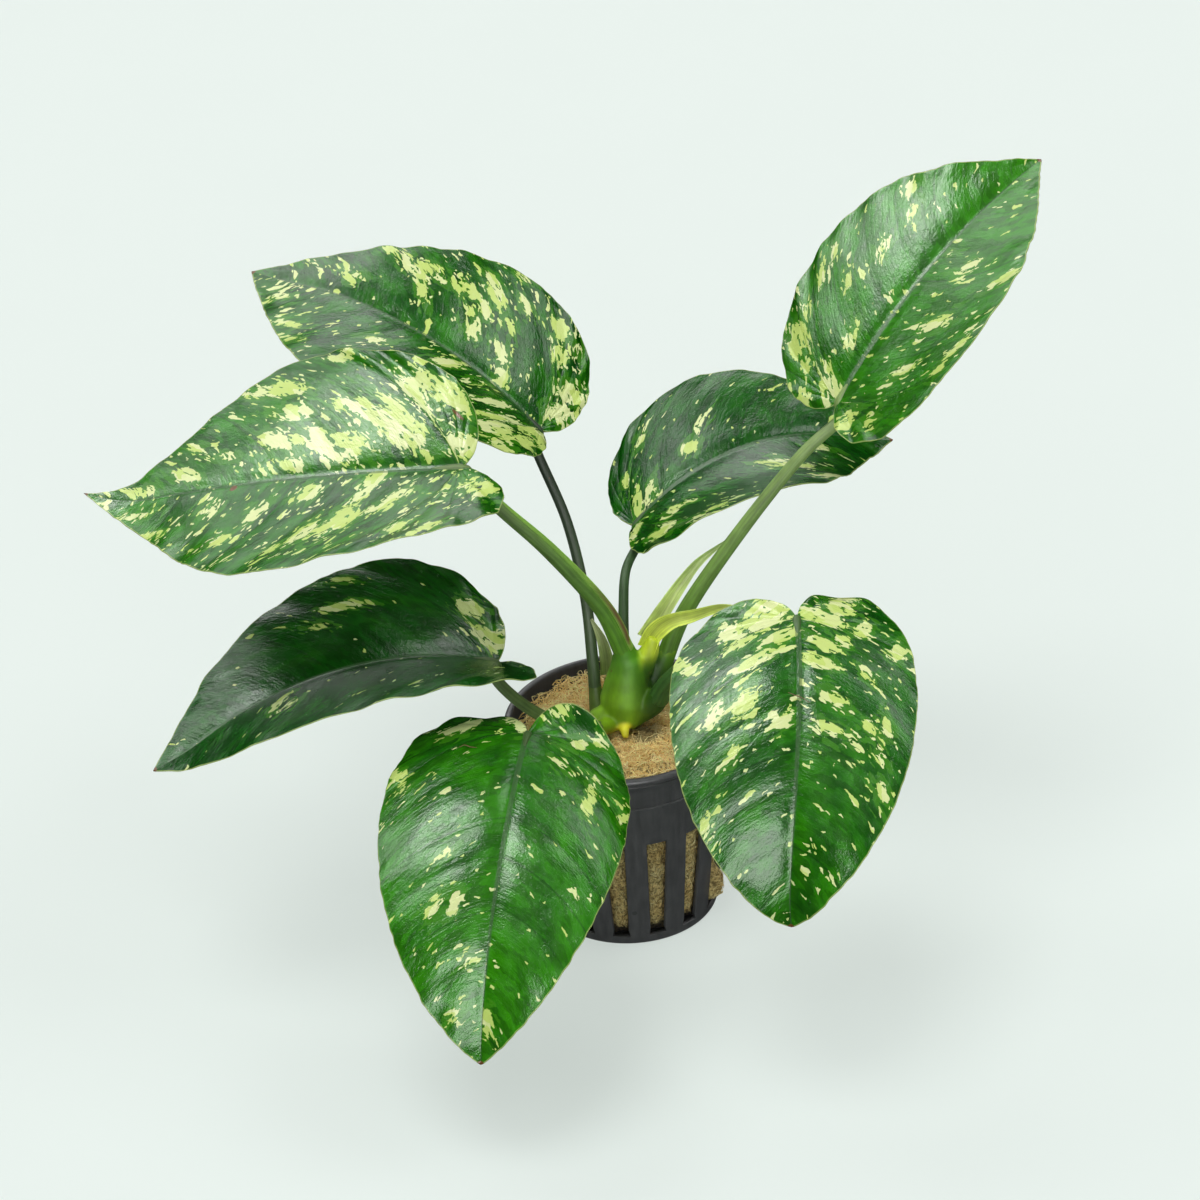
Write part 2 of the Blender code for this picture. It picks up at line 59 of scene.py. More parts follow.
POT_HEIGHT = 50.0
POT_BASE_RADIUS = 20.0
POT_FLARE = 5.6 / 42.0
POT_WALL = 1.2
POT_FLOOR = 1.8
COLLAR_HEIGHT = 41.2
COLLAR_STEP = 0.6
RIM_RADIUS = 27.0
RIM_BEAD = 1.8
SLOTS = 15
SLOT_PITCH = 360.0 / SLOTS
FIRST_SLOT_AT = -8.5
SLOT_BOTTOM = 2.6
SLOT_TOP = 30.0
SLOT_WIDTH_BOTTOM = 3.2
SLOT_WIDTH_TOP = 4.7
SLOT_FOOT_HEIGHT = 1.5
SLOT_FOOT_FLARE = 0.7
BASE_SLOT_INNER = 9.0
BASE_SLOT_OUTER = 16.0
BASE_SLOT_BETWEEN = (11.0, 13.5)

WOOL_GAP = 0.5
WOOL_LOOSE = 3.0
WOOL_LOOSE_AT = -150.0
WOOL_LOOSE_FROM = 40.0
WOOL_TOP = 49.0
HOLLOW_AT = (5.5, -6.5, 50.0)
BULGE_SLOT = 3
BULGE_HEIGHT = 8.5

CROWN_FOOT = (0.5, -4.0, 50.6)
CROWN_TOP = (3.0, -1.5, 68.0)
CROWN_PROFILE = ((0.0, 3.4), (0.1, 5.0), (0.36, 6.0), (0.6, 5.2), (0.8, 4.3), (0.95, 4.0), (1.0, 3.3))
STUB_ROUTE = ((0.5, -4.5, 53.5), (-3.5, -5.0, 53.2), (-6.6, -4.6, 52.6))
STUB_RADII = (3.4, 3.3, 2.4)
ROOT_ROUTE = ((0.2, -7.5, 53.0), (0.7, -9.3, 52.2), (0.8, -9.8, 50.6))
ROOT_RADII = (1.2, 1.1, 0.7)

BLADES = {
    "back_left": dict(
        at=(-14, 29.5, 110.5), heading=149, pitch=42, droop=58, sweep=-8, tip_lift=14, roll=8, twist=-23,
        length=85, width=(34, 32), lobe=(4.5, 4.5), lobe_curl=(-11, 0), widest=0.28, shoulder=0.34,
        hollow=0.52, fold=(19, 12), fold_tip=-7, cup=(-12, -2)),
    "left": dict(
        at=(-32, -13, 127.5), heading=172, pitch=-3, droop=19, sweep=-15, tip_lift=31, roll=-19, twist=-8,
        length=91, width=(34.5, 31), lobe=(11, 4.5), lobe_curl=(-32, -25), widest=0.34, shoulder=0.44,
        hollow=0.19, fold=(16, 18), fold_tip=-8, cup=(14, -4)),
    "right": dict(
        at=(53, 10.5, 124), heading=31, pitch=52, droop=42, sweep=11, tip_lift=1, roll=5, twist=9,
        length=75, width=(27.5, 29), lobe=(5, 6), lobe_curl=(-5, 36), widest=0.29, shoulder=0.54,
        hollow=0.45, fold=(6, 10), fold_tip=19, cup=(-19, 10)),
    "low_left": dict(
        at=(-27.5, -10, 74), heading=197, pitch=26, droop=73, sweep=-8, tip_lift=23, roll=-3, twist=-6,
        length=85.5, width=(31, 29.5), lobe=(3.6, 4), lobe_curl=(60, 94), widest=0.2, shoulder=0.22,
        hollow=0.61, fold=(22, 17), fold_tip=8, cup=(3, -5)),
    "front_left": dict(
        at=(-21, -41, 74.5), heading=260, pitch=2, droop=78, sweep=-9, tip_lift=-2, roll=-3.5, twist=3,
        length=83.5, width=(26.5, 30), lobe=(10, 9), lobe_curl=(55, -29), widest=0.27, shoulder=0.28,
        hollow=0.77, fold=(-9, 5), fold_tip=19, cup=(-21, -33)),
    "front_right": dict(
        at=(40, -40, 99.5), heading=270, pitch=-11, droop=70, sweep=-20, tip_lift=-16, roll=-7, twist=2,
        length=74.5, width=(26, 29), lobe=(10.5, 6), lobe_curl=(-26, 30), widest=0.22, shoulder=0.44,
        hollow=0.75, fold=(-1, -7), fold_tip=27, cup=(-12, -22)),
    "back_right": dict(
        at=(6, 31.5, 82.5), heading=25, pitch=40, droop=80, sweep=-6, tip_lift=26, roll=0, twist=24,
        length=71, width=(28.5, 30.5), lobe=(2.5, 5), lobe_curl=(40, 12), widest=0.4, shoulder=0.37,
        hollow=0.36, fold=(-4, 10), fold_tip=5, cup=(-3, 24)),
}

# The finish of each blade: how whole its patches are, how thickly it is specked, how fresh its green is,
# how much its skin swells between the side veins, and its pale patches. A patch is the half it is on, its
# place in percent round the margin from notch to tip and out from the midrib to the margin, and its half
# size across and along the veins in millimetres.
MARBLING = {
    "back_left": dict(solid=0.8, specks=0.14, fresh=0.35, bands=0.6, patches=(
        (1, 82, 44, 2.5, 2.5), (1, 72, 88, 2.5, 2), (1, 67, 73, 2.5, 3), (1, 70, 67, 2.5, 2.5),
        (1, 69, 39, 1, 2.5), (1, 61, 60, 2.5, 2.5), (1, 60, 32, 2, 4), (1, 58, 50, 1.5, 2.5),
        (1, 55, 78, 2, 2.5), (1, 55, 64, 2, 2.5), (1, 53, 45, 1.5, 2.5), (1, 55, 22, 2, 2.5),
        (1, 54, 9, 2, 2.5), (1, 49, 73, 1.5, 2), (1, 39, 76, 2, 2.5), (1, 31, 80, 1.5, 2.5),
        (1, 42, 55, 2, 2), (1, 22, 62, 3.5, 3), (1, 13, 54, 4.5, 3), (0, 60, 17, 2, 4),
        (0, 55, 17, 1, 3), (0, 50, 24, 1.5, 4.5), (0, 46, 32, 1.5, 6.5), (0, 35, 56, 2.5, 4.5),
        (0, 30, 23, 2, 5.5), (0, 90, 56, 2, 1.5), (0, 80, 82, 2, 1), (0, 73, 86, 2, 1.5),
        (0, 68, 41, 1.5, 2), (0, 19, 67, 2.2, 3), (0, 10, 77, 1.7, 2), (0, 26, 84, 1.7, 3),
        (1, 46, 98, 2, 1.5))),
    "left": dict(solid=0.75, specks=0.16, fresh=0.55, bands=0.7, patches=(
        (1, 60, 84, 5, 3), (1, 62, 58, 4, 2.5), (1, 45, 91, 3, 1.5), (1, 51, 29, 4.5, 8),
        (1, 48, 34, 2, 8), (1, 41, 49, 2.4, 6.5), (1, 22, 23, 2, 4), (1, 29, 64, 1.7, 5),
        (1, 7, 73, 1.7, 2), (1, 20, 73, 2, 4), (1, 67, 37, 4.5, 3), (1, 68, 13, 3, 2),
        (1, 62, 33, 3, 2), (1, 59, 18, 5.5, 4), (1, 54, 50, 3, 2.5), (1, 76, 43, 2.5, 1.5),
        (1, 83, 39, 2.5, 2.5), (1, 91, 36, 2.5, 1.5), (1, 78, 75, 1.5, 1.5), (0, 64, 17, 2, 2.5),
        (0, 55, 52, 3.5, 6.5), (0, 58, 60, 2, 4), (0, 56, 7, 2, 3.5), (0, 51, 36, 3, 2.5),
        (0, 50, 28, 2, 2.5), (0, 14, 57, 3.2, 3.2), (0, 56, 25, 2, 2.5), (0, 41, 70, 2, 2.5),
        (0, 30, 88, 1.5, 2), (0, 90, 64, 3, 1.5), (0, 85, 90, 2, 1), (0, 70, 36, 1.5, 2.5),
        (0, 60, 74, 1.5, 2.5), (0, 71, 70, 2, 1.5), (0, 78, 35, 1.5, 1.5))),
    "right": dict(solid=1.3, specks=0.1, fresh=0.9, bands=0.5, patches=(
        (0, 50, 77, 2, 3), (0, 57, 52, 1.5, 2), (0, 54, 81, 1.5, 2), (0, 66, 48, 1.5, 1.5),
        (0, 44, 69, 1.5, 2), (0, 34, 67, 3, 3.5), (0, 53, 18, 2, 2), (0, 56, 19, 1.5, 1.5),
        (0, 29, 51, 1, 1.5), (0, 28, 17, 1, 5), (0, 46, 9, 1.5, 4), (0, 73, 84, 1.5, 1.5),
        (0, 73, 57, 1.5, 2), (1, 75, 9, 1, 1.5), (1, 72, 45, 1.5, 2), (1, 65, 88, 1.5, 2.5),
        (1, 59, 47, 2, 3.5), (1, 50, 87, 3, 1.5), (1, 50, 47, 2.5, 3), (1, 45, 83, 2.5, 1.5),
        (1, 10, 69, 3, 3.5), (1, 14, 50, 2.5, 2), (1, 24, 66, 1.5, 2.5), (1, 27, 33, 1, 1.5),
        (1, 30, 53, 1, 1.5), (0, 10, 92, 2, 1.5))),
    "low_left": dict(solid=1.3, specks=0.03, fresh=0.1, bands=0.45, patches=(
        (1, 58, 63, 3.5, 2), (1, 27, 20, 1.5, 5), (1, 16, 34, 4.5, 4.5), (1, 27, 57, 2.5, 3),
        (0, 77, 27, 2, 2.5), (1, 64, 53, 1.5, 1.5), (0, 74, 43, 1.5, 1.5), (1, 51, 90, 1.5, 1.5))),
    "front_left": dict(solid=1.3, specks=0.07, fresh=0.75, bands=1.0, patches=(
        (0, 10, 87, 2, 1.5), (1, 24, 65, 1.5, 4), (1, 30, 60, 1, 1.5), (1, 6, 66, 4.5, 2),
        (0, 24, 57, 3, 1.5), (0, 22, 81, 2, 1.5), (0, 48, 28, 1.5, 2), (0, 48, 58, 3.5, 1.5),
        (0, 42, 61, 1.5, 1.5), (0, 52, 58, 2, 1.5), (1, 40, 91, 2, 1.5), (1, 47, 80, 1.5, 1.5),
        (0, 44, 94, 3, 1), (1, 66, 43, 1, 1.5), (1, 73, 55, 2, 2), (1, 74, 36, 2, 1),
        (1, 84, 20, 1.5, 1.5), (0, 93, 23, 2, 1.5), (1, 90, 66, 1, 2))),
    "front_right": dict(solid=1.3, specks=0.11, fresh=0.5, bands=0.85, patches=(
        (1, 18, 36, 4, 5), (1, 11, 67, 3, 2), (0, 18, 61, 4, 3.5), (0, 30, 23, 2.5, 5),
        (1, 30, 58, 2.5, 3), (1, 45, 40, 1.5, 3), (0, 49, 15, 1.5, 4), (0, 47, 32, 1.5, 1.5),
        (0, 53, 13, 1.5, 3.5), (1, 36, 90, 4, 1.5), (1, 51, 32, 1.5, 5), (0, 34, 60, 2.5, 1.5),
        (0, 39, 83, 3, 1.5), (0, 51, 52, 2, 2), (1, 57, 62, 2.5, 2.5), (1, 58, 41, 2.5, 3.5),
        (1, 64, 11, 2, 2.5), (0, 59, 31, 1.5, 2.5), (0, 65, 26, 1.5, 3.5), (0, 61, 58, 1.5, 1.5),
        (0, 58, 74, 2, 1.5), (0, 64, 72, 1.5, 1.5), (1, 66, 53, 1.5, 1.5), (1, 48, 12, 1.5, 4),
        (0, 68, 84, 1.5, 1.5), (1, 74, 94, 1.5, 1.5))),
    "back_right": dict(solid=1.0, specks=0.06, fresh=0.2, bands=0.6, patches=(
        (0, 45, 64, 1.2, 1.2), (0, 38, 40, 1, 2), (0, 47, 12, 1.2, 4), (0, 50, 10, 1.5, 2.5),
        (0, 59, 24, 1.5, 2), (0, 61, 48, 1, 2), (1, 68, 43, 3, 3.5), (1, 70, 62, 2.5, 2.5),
        (1, 81, 35, 2, 1.5), (1, 49, 26, 2.5, 2), (1, 36, 50, 2, 2), (1, 26, 60, 1.5, 2.5),
        (1, 43, 80, 2, 2), (1, 48, 79, 1.5, 1.5), (1, 37, 84, 1.5, 1.5), (1, 9, 45, 3, 1.5),
        (1, 67, 92, 2.5, 2.5), (1, 51, 31, 1, 1.5))),
}
# Dried spots, each given like a patch.
BROWN_SPOTS = {"left": ((0, 76.8, 4, 0.8, 0.8), (1, 20, 57, 0.4, 2.0))}

# Each stalk: the points it passes from the crown up, its thickness at the foot and the top, the depth of
# its ribs, and the colours of its foot and top.
STALKS = {
    "back_left": dict(
        route=((-5.4, 1.5, 51.5), (-5.6, 4, 63.5), (-6.4, 11, 77), (-9.5, 20, 91.5)), thick=(3.0, 2.2),
        ribs=0.015, foot=(0.07, 0.12, 0.04), top=(0.035, 0.055, 0.03)),
    "left": dict(
        route=((1.8, -2.2, 69.2), (-3, -4, 83), (-13.7, -8, 101), (-24, -11, 115)), thick=(5.0, 2.6),
        ribs=0.02, foot=(0.09, 0.25, 0.01), top=(0.13, 0.21, 0.06)),
    "right": dict(
        route=((9.6, 2.4, 60.5), (16.4, 4, 75.5), (30, 7, 94), (44.3, 9.5, 111)), thick=(4.4, 2.4),
        ribs=0.04, foot=(0.11, 0.25, 0.02), top=(0.22, 0.34, 0.09)),
    "low_left": dict(
        route=((-9.2, -6.6, 53.2), (-14, -6.6, 54), (-19, -6.6, 56.8), (-24, -8, 62.5)), thick=(3.2, 2.6),
        ribs=0.015, foot=(0.11, 0.2, 0.03), top=(0.10, 0.16, 0.05)),
    "front_left": dict(
        route=((-4.6, -9.6, 54.0), (-9.9, -18, 58), (-15.5, -29.5, 64)), thick=(3.2, 2.4),
        ribs=0.015, foot=(0.08, 0.16, 0.03), top=(0.06, 0.12, 0.03)),
    "front_right": dict(
        route=((8.7, -6.6, 58.8), (11.8, -9, 65.2), (18.7, -15, 75.2), (28.8, -26, 88.3)), thick=(5.0, 2.4),
        ribs=0.02, foot=(0.035, 0.11, 0.015), top=(0.06, 0.13, 0.03)),
    "back_right": dict(
        route=((1.6, 4.6, 62.0), (2.2, 11, 72), (3.4, 18.5, 78)), thick=(2.6, 2.0),
        ribs=0.015, foot=(0.045, 0.09, 0.03), top=(0.05, 0.11, 0.035)),
}

# Each sheath leaf: the points it passes, its width at them, the side it opens to, the depth of its fold
# as a share of its width, and the colours of its foot and top.
SHEATHS = {
    "sheath_tall": dict(
        route=((7.0, 4.4, 68.0), (11.6, 6, 74.2), (15.8, 8, 79.5), (20.1, 10, 84), (26.3, 12, 88)),
        width=(4.0, 3.8, 3.0, 2.0, 0.5), facing=(-0.5, -1.0, 0.4), fold=0.6,
        foot=(0.74, 0.86, 0.30), top=(0.52, 0.70, 0.26)),
    "sheath_curved": dict(
        route=((7.0, -1.4, 69.2), (9.0, -1.4, 73.2), (12.6, -2, 76.4), (17.5, -3, 78.2), (24, -6.5, 82),
               (30.6, -11, 84.3)),
        width=(4.4, 4.4, 3.8, 3.0, 2.0, 0.6), facing=(0.2, -0.6, 1.0), fold=0.3,
        foot=(0.78, 0.90, 0.08), top=(0.72, 0.88, 0.20)),
    "sheath_short": dict(
        route=((-2.4, 5.0, 58.5), (-2.3, 5.2, 63.8), (-3.2, 5.2, 68.7), (-5.2, 6.0, 73.2)),
        width=(3.0, 3.2, 2.4, 0.6), facing=(-0.3, -1.0, 0.1), fold=0.3,
        foot=(0.36, 0.48, 0.12), top=(0.50, 0.55, 0.26)),
}


def smoothstep(low, high, value):
    share = np.clip((np.asarray(value, float) - low) / (high - low), 0.0, 1.0)
    return share * share * (3 - 2 * share)


def unit(vectors):
    """Each vector made one long, and one of no length left as it is."""
    return vectors / (np.linalg.norm(vectors, axis=-1, keepdims=True) + 1e-9)


def run_along(points):
    """How far along their line each of these points is."""
    return np.concatenate([[0], np.cumsum(np.linalg.norm(np.diff(points, axis=0), axis=1))])


def between_rows(where, steps, rows):
    """Rows of three values between the given rows, which belong to steps."""
    return xyz(*(np.interp(where, steps, rows[:, k]) for k in range(3)))


def xyz(*values):
    """Points, or other rows of values, from a number or an array for each value."""
    return np.stack(np.broadcast_arrays(*values), -1)


def turns_round(count):
    """Even turns round a circle, in radians."""
    return np.linspace(0, 2 * math.pi, count, endpoint=False)


def tinted(tint, share, towards):
    """Colours brought some share of the way towards another."""
    return tint + share[..., None] * (np.array(towards) - tint)


def slow_waves(points, wavelength, seed, count=7):
    """A smooth random unevenness between about -1 and 1, over points of any dimension."""
    draw = np.random.default_rng(seed)
    points = np.asarray(points, float)
    total = np.zeros(points.shape[:-1])
    for _ in range(count):
        direction = draw.normal(size=points.shape[-1])
        direction /= np.linalg.norm(direction)
        turn = 2 * math.pi * (points @ direction) / (wavelength * draw.uniform(0.7, 1.5))
        total += np.sin(turn + draw.uniform(0, 2 * math.pi))
    return total * 1.6 / count


def add_values(mesh, name, kind, domain, values):
    made = mesh.attributes.new(name, kind, domain)
    field = {"FLOAT": "value", "FLOAT_VECTOR": "vector", "FLOAT_COLOR": "color"}[kind]
    made.data.foreach_set(field, np.ascontiguousarray(values, np.float32).ravel())


def link_object(name, data):
    made = bpy.data.objects.new(name, data)
    bpy.context.collection.objects.link(made)
    return made


def make_piece(name, points, faces, materials, node, face_materials=None):
    """A shown mesh from points in millimetres, which rides on the root and stands for a node."""
    mesh = bpy.data.meshes.new(name)
    mesh.from_pydata((np.asarray(points) * MM).tolist(), [], np.asarray(faces).tolist())
    mesh.shade_smooth()
    return show_mesh(name, mesh, materials, node, face_materials)


def show_mesh(name, mesh, materials, node, face_materials=None):
    for material in materials:
        mesh.materials.append(material)
    if face_materials is not None:
        mesh.polygons.foreach_set("material_index", np.asarray(face_materials, np.int32))
    obj = link_object(name, mesh)
    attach(obj, "root")
    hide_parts(node)
    return obj


# Nodes for the finishes.


def colour(red, green, blue):
    return (red, green, blue, 1.0)


def add_node(tree, kind, **settings):
    made = tree.nodes.new("ShaderNode" + kind)
    for name, value in settings.items():
        setattr(made, name, value)
    return made


def feed(tree, socket, value):
    """Links another socket to this one, or sets a plain value on it."""
    if isinstance(value, bpy.types.NodeSocket):
        tree.links.new(value, socket)
    else:
        socket.default_value = value[:3] if socket.type == "VECTOR" else value


def maths(tree, operation, *values):
    made = add_node(tree, "Math", operation=operation)
    for socket, value in zip(made.inputs, values):
        feed(tree, socket, value)
    return made.outputs[0]


def vector_maths(tree, operation, first, second):
    made = add_node(tree, "VectorMath", operation=operation)
    feed(tree, made.inputs[0], first)
    feed(tree, made.inputs["Scale"] if operation == "SCALE" else made.inputs[1], second)
    return made.outputs["Value" if operation == "LENGTH" else "Vector"]


def times(tree, first, second):
    return maths(tree, "MULTIPLY", first, second)


def plus(tree, first, second):
    return maths(tree, "ADD", first, second)


def stretched(tree, place, factors):
    return vector_maths(tree, "MULTIPLY", place, factors)


def scaled_by(tree, first, factor):
    return vector_maths(tree, "SCALE", first, factor)


def mask_between(tree, value, low, high, from_value=0.0, to_value=1.0):
    """A smooth step: from_value below low and to_value above high."""
    made = add_node(tree, "MapRange", interpolation_type="SMOOTHSTEP")
    for name, given in (("Value", value), ("From Min", low), ("From Max", high),
                        ("To Min", from_value), ("To Max", to_value)):
        feed(tree, made.inputs[name], given)
    return made.outputs["Result"]


def mixed(tree, share, first, second):
    made = add_node(tree, "Mix", data_type="RGBA")
    feed(tree, made.inputs[0], share)
    feed(tree, made.inputs[6], first)
    feed(tree, made.inputs[7], second)
    return made.outputs[2]


def by_tone(tree, tone, low, high):
    """A value that goes from low to high as a tone goes from 0.2 to 0.8."""
    return mask_between(tree, tone, 0.2, 0.8, low, high)


def shaded(tree, first, tone, low, high):
    """A colour made darker or lighter by a tone between 0 and 1."""
    return scaled_by(tree, first, by_tone(tree, tone, low, high))


def noise(tree, place, scale, detail=2.0, roughness=0.5):
    made = add_node(tree, "TexNoise")
    feed(tree, made.inputs["Vector"], place)
    made.inputs["Scale"].default_value = scale
    made.inputs["Detail"].default_value = detail
    made.inputs["Roughness"].default_value = roughness
    return made.outputs["Fac"]


def channels_of(tree, given):
    split = add_node(tree, "SeparateColor")
    tree.links.new(given, split.inputs[0])
    return split.outputs


def blocky_cells(tree, place):
    """The random numbers of flat blocky cells: three for each cell."""
    made = add_node(tree, "TexVoronoi", voronoi_dimensions="2D", feature="F1", distance="CHEBYCHEV")
    feed(tree, made.inputs["Vector"], place)
    made.inputs["Scale"].default_value = 1.0
    made.inputs["Randomness"].default_value = 1.0
    return channels_of(tree, made.outputs["Color"])


def round_cells(tree, place, scale):
    """Round cells: how far each place is from its cell's middle, and the random numbers of the cells."""
    made = add_node(tree, "TexVoronoi", feature="F1")
    feed(tree, made.inputs["Vector"], place)
    made.inputs["Scale"].default_value = scale
    return made.outputs["Distance"], made.outputs["Color"]


def read_values(tree, name, output="Vector"):
    return add_node(tree, "Attribute", attribute_name=name).outputs[output]


def parts_of(tree, vector):
    split = add_node(tree, "SeparateXYZ")
    tree.links.new(vector, split.inputs[0])
    return split.outputs


def place_in_mm(tree):
    return scaled_by(tree, add_node(tree, "TexCoord").outputs["Object"], 1 / MM)


def new_group(name, inputs, outputs):
    """A shader node group with named sockets, and the nodes that hold them."""
    group = bpy.data.node_groups.new(name, "ShaderNodeTree")
    for socket, (kind, value) in inputs.items():
        made = group.interface.new_socket(socket, in_out="INPUT", socket_type="NodeSocket" + kind)
        if value is not None:
            made.default_value = value
    for socket, kind in outputs.items():
        group.interface.new_socket(socket, in_out="OUTPUT", socket_type="NodeSocket" + kind)
    return group, group.nodes.new("NodeGroupInput").outputs, group.nodes.new("NodeGroupOutput").inputs


def place_group(tree, group, values):
    made = tree.nodes.new("ShaderNodeGroup")
    made.node_tree = group
    for name, value in values.items():
        feed(tree, made.inputs[name], value)
    return made.outputs


# The sizes of the marbling's cells across and along the veins in millimetres, and how far each size carries
# a patch's edge in or out. Then how readily the cells of the smaller two sizes turn into specks, and the
# number above which such a cell is a hole.
CELL_SIZES = ((2.3, 6.5), (1.05, 2.8), (0.45, 1.0))
EDGE_REACH = (1.5, 1.2, 0.4)
MIDDLE_SPECKS = 0.32
FINE_SPECKS = 0.45
MIDDLE_HOLES = 0.96
FINE_HOLES = 0.94


def make_marbling_group():
    """Jagged pale patches and specks, in blocky cells that run along the leaf's veins. Grain is the place
    on the leaf across and along its veins, Pale how far inside a patch it is, both in millimetres, and
    Specks the share of small cells that turn pale."""
    group, given, result = new_group(
        "leaf marbling",
        {"Grain": ("Vector", None), "Pale": ("Float", -4.0), "Specks": ("Float", 0.2)},
        {"Mask": "Float", "Tone": "Float", "Halo": "Float", "Mottle": "Float"})
    warp = add_node(group, "TexNoise")
    group.links.new(given["Grain"], warp.inputs["Vector"])
    warp.inputs["Scale"].default_value = 0.35
    warp.inputs["Detail"].default_value = 2.0
    bent = vector_maths(group, "SUBTRACT", warp.outputs["Color"], (0.5, 0.5, 0.5))
    bent = vector_maths(group, "ADD", given["Grain"], stretched(group, bent, (1.6, 4.0, 0.0)))
    coarse, middle, fine = (blocky_cells(group, stretched(group, bent, (1 / across, 1 / along, 1.0)))
                            for across, along in CELL_SIZES)

    def jitter(source, reach):
        return times(group, maths(group, "SUBTRACT", source, 0.5), reach)

    def over(first, second):
        return maths(group, "GREATER_THAN", first, second)

    ragged = given["Pale"]
    for blocks, reach in zip((coarse, middle, fine), EDGE_REACH):
        ragged = plus(group, ragged, jitter(blocks["Red"], reach))
    patch = mask_between(group, ragged, -0.05, 0.05)

    drift = mask_between(group, noise(group, given["Grain"], 0.09, 2.0), 0.35, 0.65, 0.3, 1.7)
    near = mask_between(group, given["Pale"], -3.5, 0.0, 0.5, 1.2)
    share = times(group, times(group, given["Specks"], drift), near)
    specks = maths(group, "MAXIMUM", over(times(group, share, FINE_SPECKS), fine["Green"]),
                   over(times(group, share, MIDDLE_SPECKS), middle["Green"]))
    holes = maths(group, "MAXIMUM", over(fine["Blue"], FINE_HOLES), over(middle["Blue"], MIDDLE_HOLES))
    patch = times(group, patch, maths(group, "SUBTRACT", 1.0, holes))
    group.links.new(maths(group, "MAXIMUM", patch, specks), result["Mask"])
    group.links.new(coarse["Blue"], result["Tone"])
    halo_reach = plus(group, ragged, jitter(middle["Green"], 3.0))
    group.links.new(mask_between(group, halo_reach, -1.3, -1.1), result["Halo"])
    mottle = plus(group, times(group, coarse["Green"], 0.5), times(group, middle["Green"], 0.5))
    group.links.new(mottle, result["Mottle"])
    return group


def make_grain_group():
    """Fine leathery grain: a height for bumps and a tone for slight changes of colour."""
    group, given, result = new_group(
        "fine grain", {"Place": ("Vector", None), "Size": ("Float", 0.4)},
        {"Height": "Float", "Tone": "Float"})
    place = scaled_by(group, given["Place"], maths(group, "DIVIDE", 1.0, given["Size"]))
    fine = noise(group, place, 1.0, 3.0, 0.6)
    pore, _ = round_cells(group, place, 0.8)
    group.links.new(plus(group, fine, times(group, pore, 0.5)), result["Height"])
    group.links.new(noise(group, place, 0.12, 3.0), result["Tone"])
    return group


def make_streaks_group():
    """Streaks and fine ribs that run lengthwise. Length is a place whose Z runs along the piece."""
    group, given, result = new_group(
        "lengthwise streaks", {"Length": ("Vector", None), "Count": ("Float", 6.0)},
        {"Height": "Float", "Tone": "Float"})
    drawn = stretched(group, scaled_by(group, given["Length"], given["Count"]), (1.0, 1.0, 0.1))
    group.links.new(noise(group, drawn, 1.0, 3.0, 0.55), result["Tone"])
    group.links.new(noise(group, drawn, 2.7, 2.0, 0.6), result["Height"])
    return group


def make_flecks_group():
    """Small scattered flecks. Size is their spacing, and Share how many of the places have one."""
    group, given, result = new_group(
        "scattered flecks", {"Place": ("Vector", None), "Size": ("Float", 1.0), "Share": ("Float", 0.05)},
        {"Mask": "Float"})
    place = scaled_by(group, given["Place"], maths(group, "DIVIDE", 1.0, given["Size"]))
    distance, numbers = round_cells(group, place, 1.0)
    numbers = channels_of(group, numbers)
    chosen = maths(group, "GREATER_THAN", given["Share"], numbers["Red"])
    inside = maths(group, "GREATER_THAN", times(group, numbers["Green"], 0.28), distance)
    group.links.new(times(group, chosen, inside), result["Mask"])
    return group


def new_material(name, roughness, specular, coat=0.0, coat_roughness=0.1):
    """A material with its shader's even values set, and the tree that the rest is wired in."""
    material = bpy.data.materials.new(name)
    material.use_nodes = True
    tree = material.node_tree
    shader = tree.nodes["Principled BSDF"]
    shader.inputs["Roughness"].default_value = roughness
    shader.inputs["Specular IOR Level"].default_value = specular
    shader.inputs["Coat Weight"].default_value = coat
    shader.inputs["Coat Roughness"].default_value = coat_roughness
    return material, tree, shader.inputs


def finish_skin(tree, shader, skin, tone, roughness, height, depth):
    """Wires a skin's colour, its roughness between two values by a tone, and its bumps, whose depth is in
    millimetres."""
    feed(tree, shader["Base Color"], skin)
    feed(tree, shader["Roughness"], by_tone(tree, tone, *roughness))
    bump = add_node(tree, "Bump")
    bump.inputs["Strength"].default_value = 1.0
    bump.inputs["Distance"].default_value = depth * MM
    feed(tree, bump.inputs["Height"], height)
    tree.links.new(bump.outputs["Normal"], shader["Normal"])


DEEP_GREEN = colour(0.002, 0.072, 0.001)
FRESH_GREEN = colour(0.026, 0.200, 0.001)
HALO_GREEN = colour(0.060, 0.260, 0.008)
LIME_PALE = colour(0.56, 0.72, 0.17)
CREAM = colour(0.72, 0.80, 0.36)
MIDRIB_GREY = colour(0.055, 0.125, 0.045)
MARGIN_YELLOW = colour(0.42, 0.52, 0.16)
DRIED_BROWN = colour(0.16, 0.07, 0.02)
# Darker green for the side veins: their own colour and painted shade in their grooves.
VEIN_GREEN_AND_GROOVE_SHADE = colour(0.004, 0.03, 0.004)
BACK_DULL = colour(0.05, 0.13, 0.04)
BACK_GREEN = colour(0.09, 0.19, 0.06)
BACK_VEIN = colour(0.16, 0.27, 0.10)
BACK_PALE = colour(0.42, 0.52, 0.24)
BACK_MIDRIB = colour(0.18, 0.28, 0.10)
WOOL_TAN = colour(0.76, 0.52, 0.19)
WOOL_LIGHT = colour(1.0, 0.78, 0.33)
FIBRE_TAN = colour(0.92, 0.67, 0.26)
FIBRE_LIGHT = colour(1.0, 0.86, 0.44)
LINT_DARK = colour(0.10, 0.045, 0.02)
LINT_BROWN = colour(0.25, 0.13, 0.06)
POT_BLACK = colour(0.060, 0.060, 0.063)
POT_FLECK = colour(0.014, 0.014, 0.016)


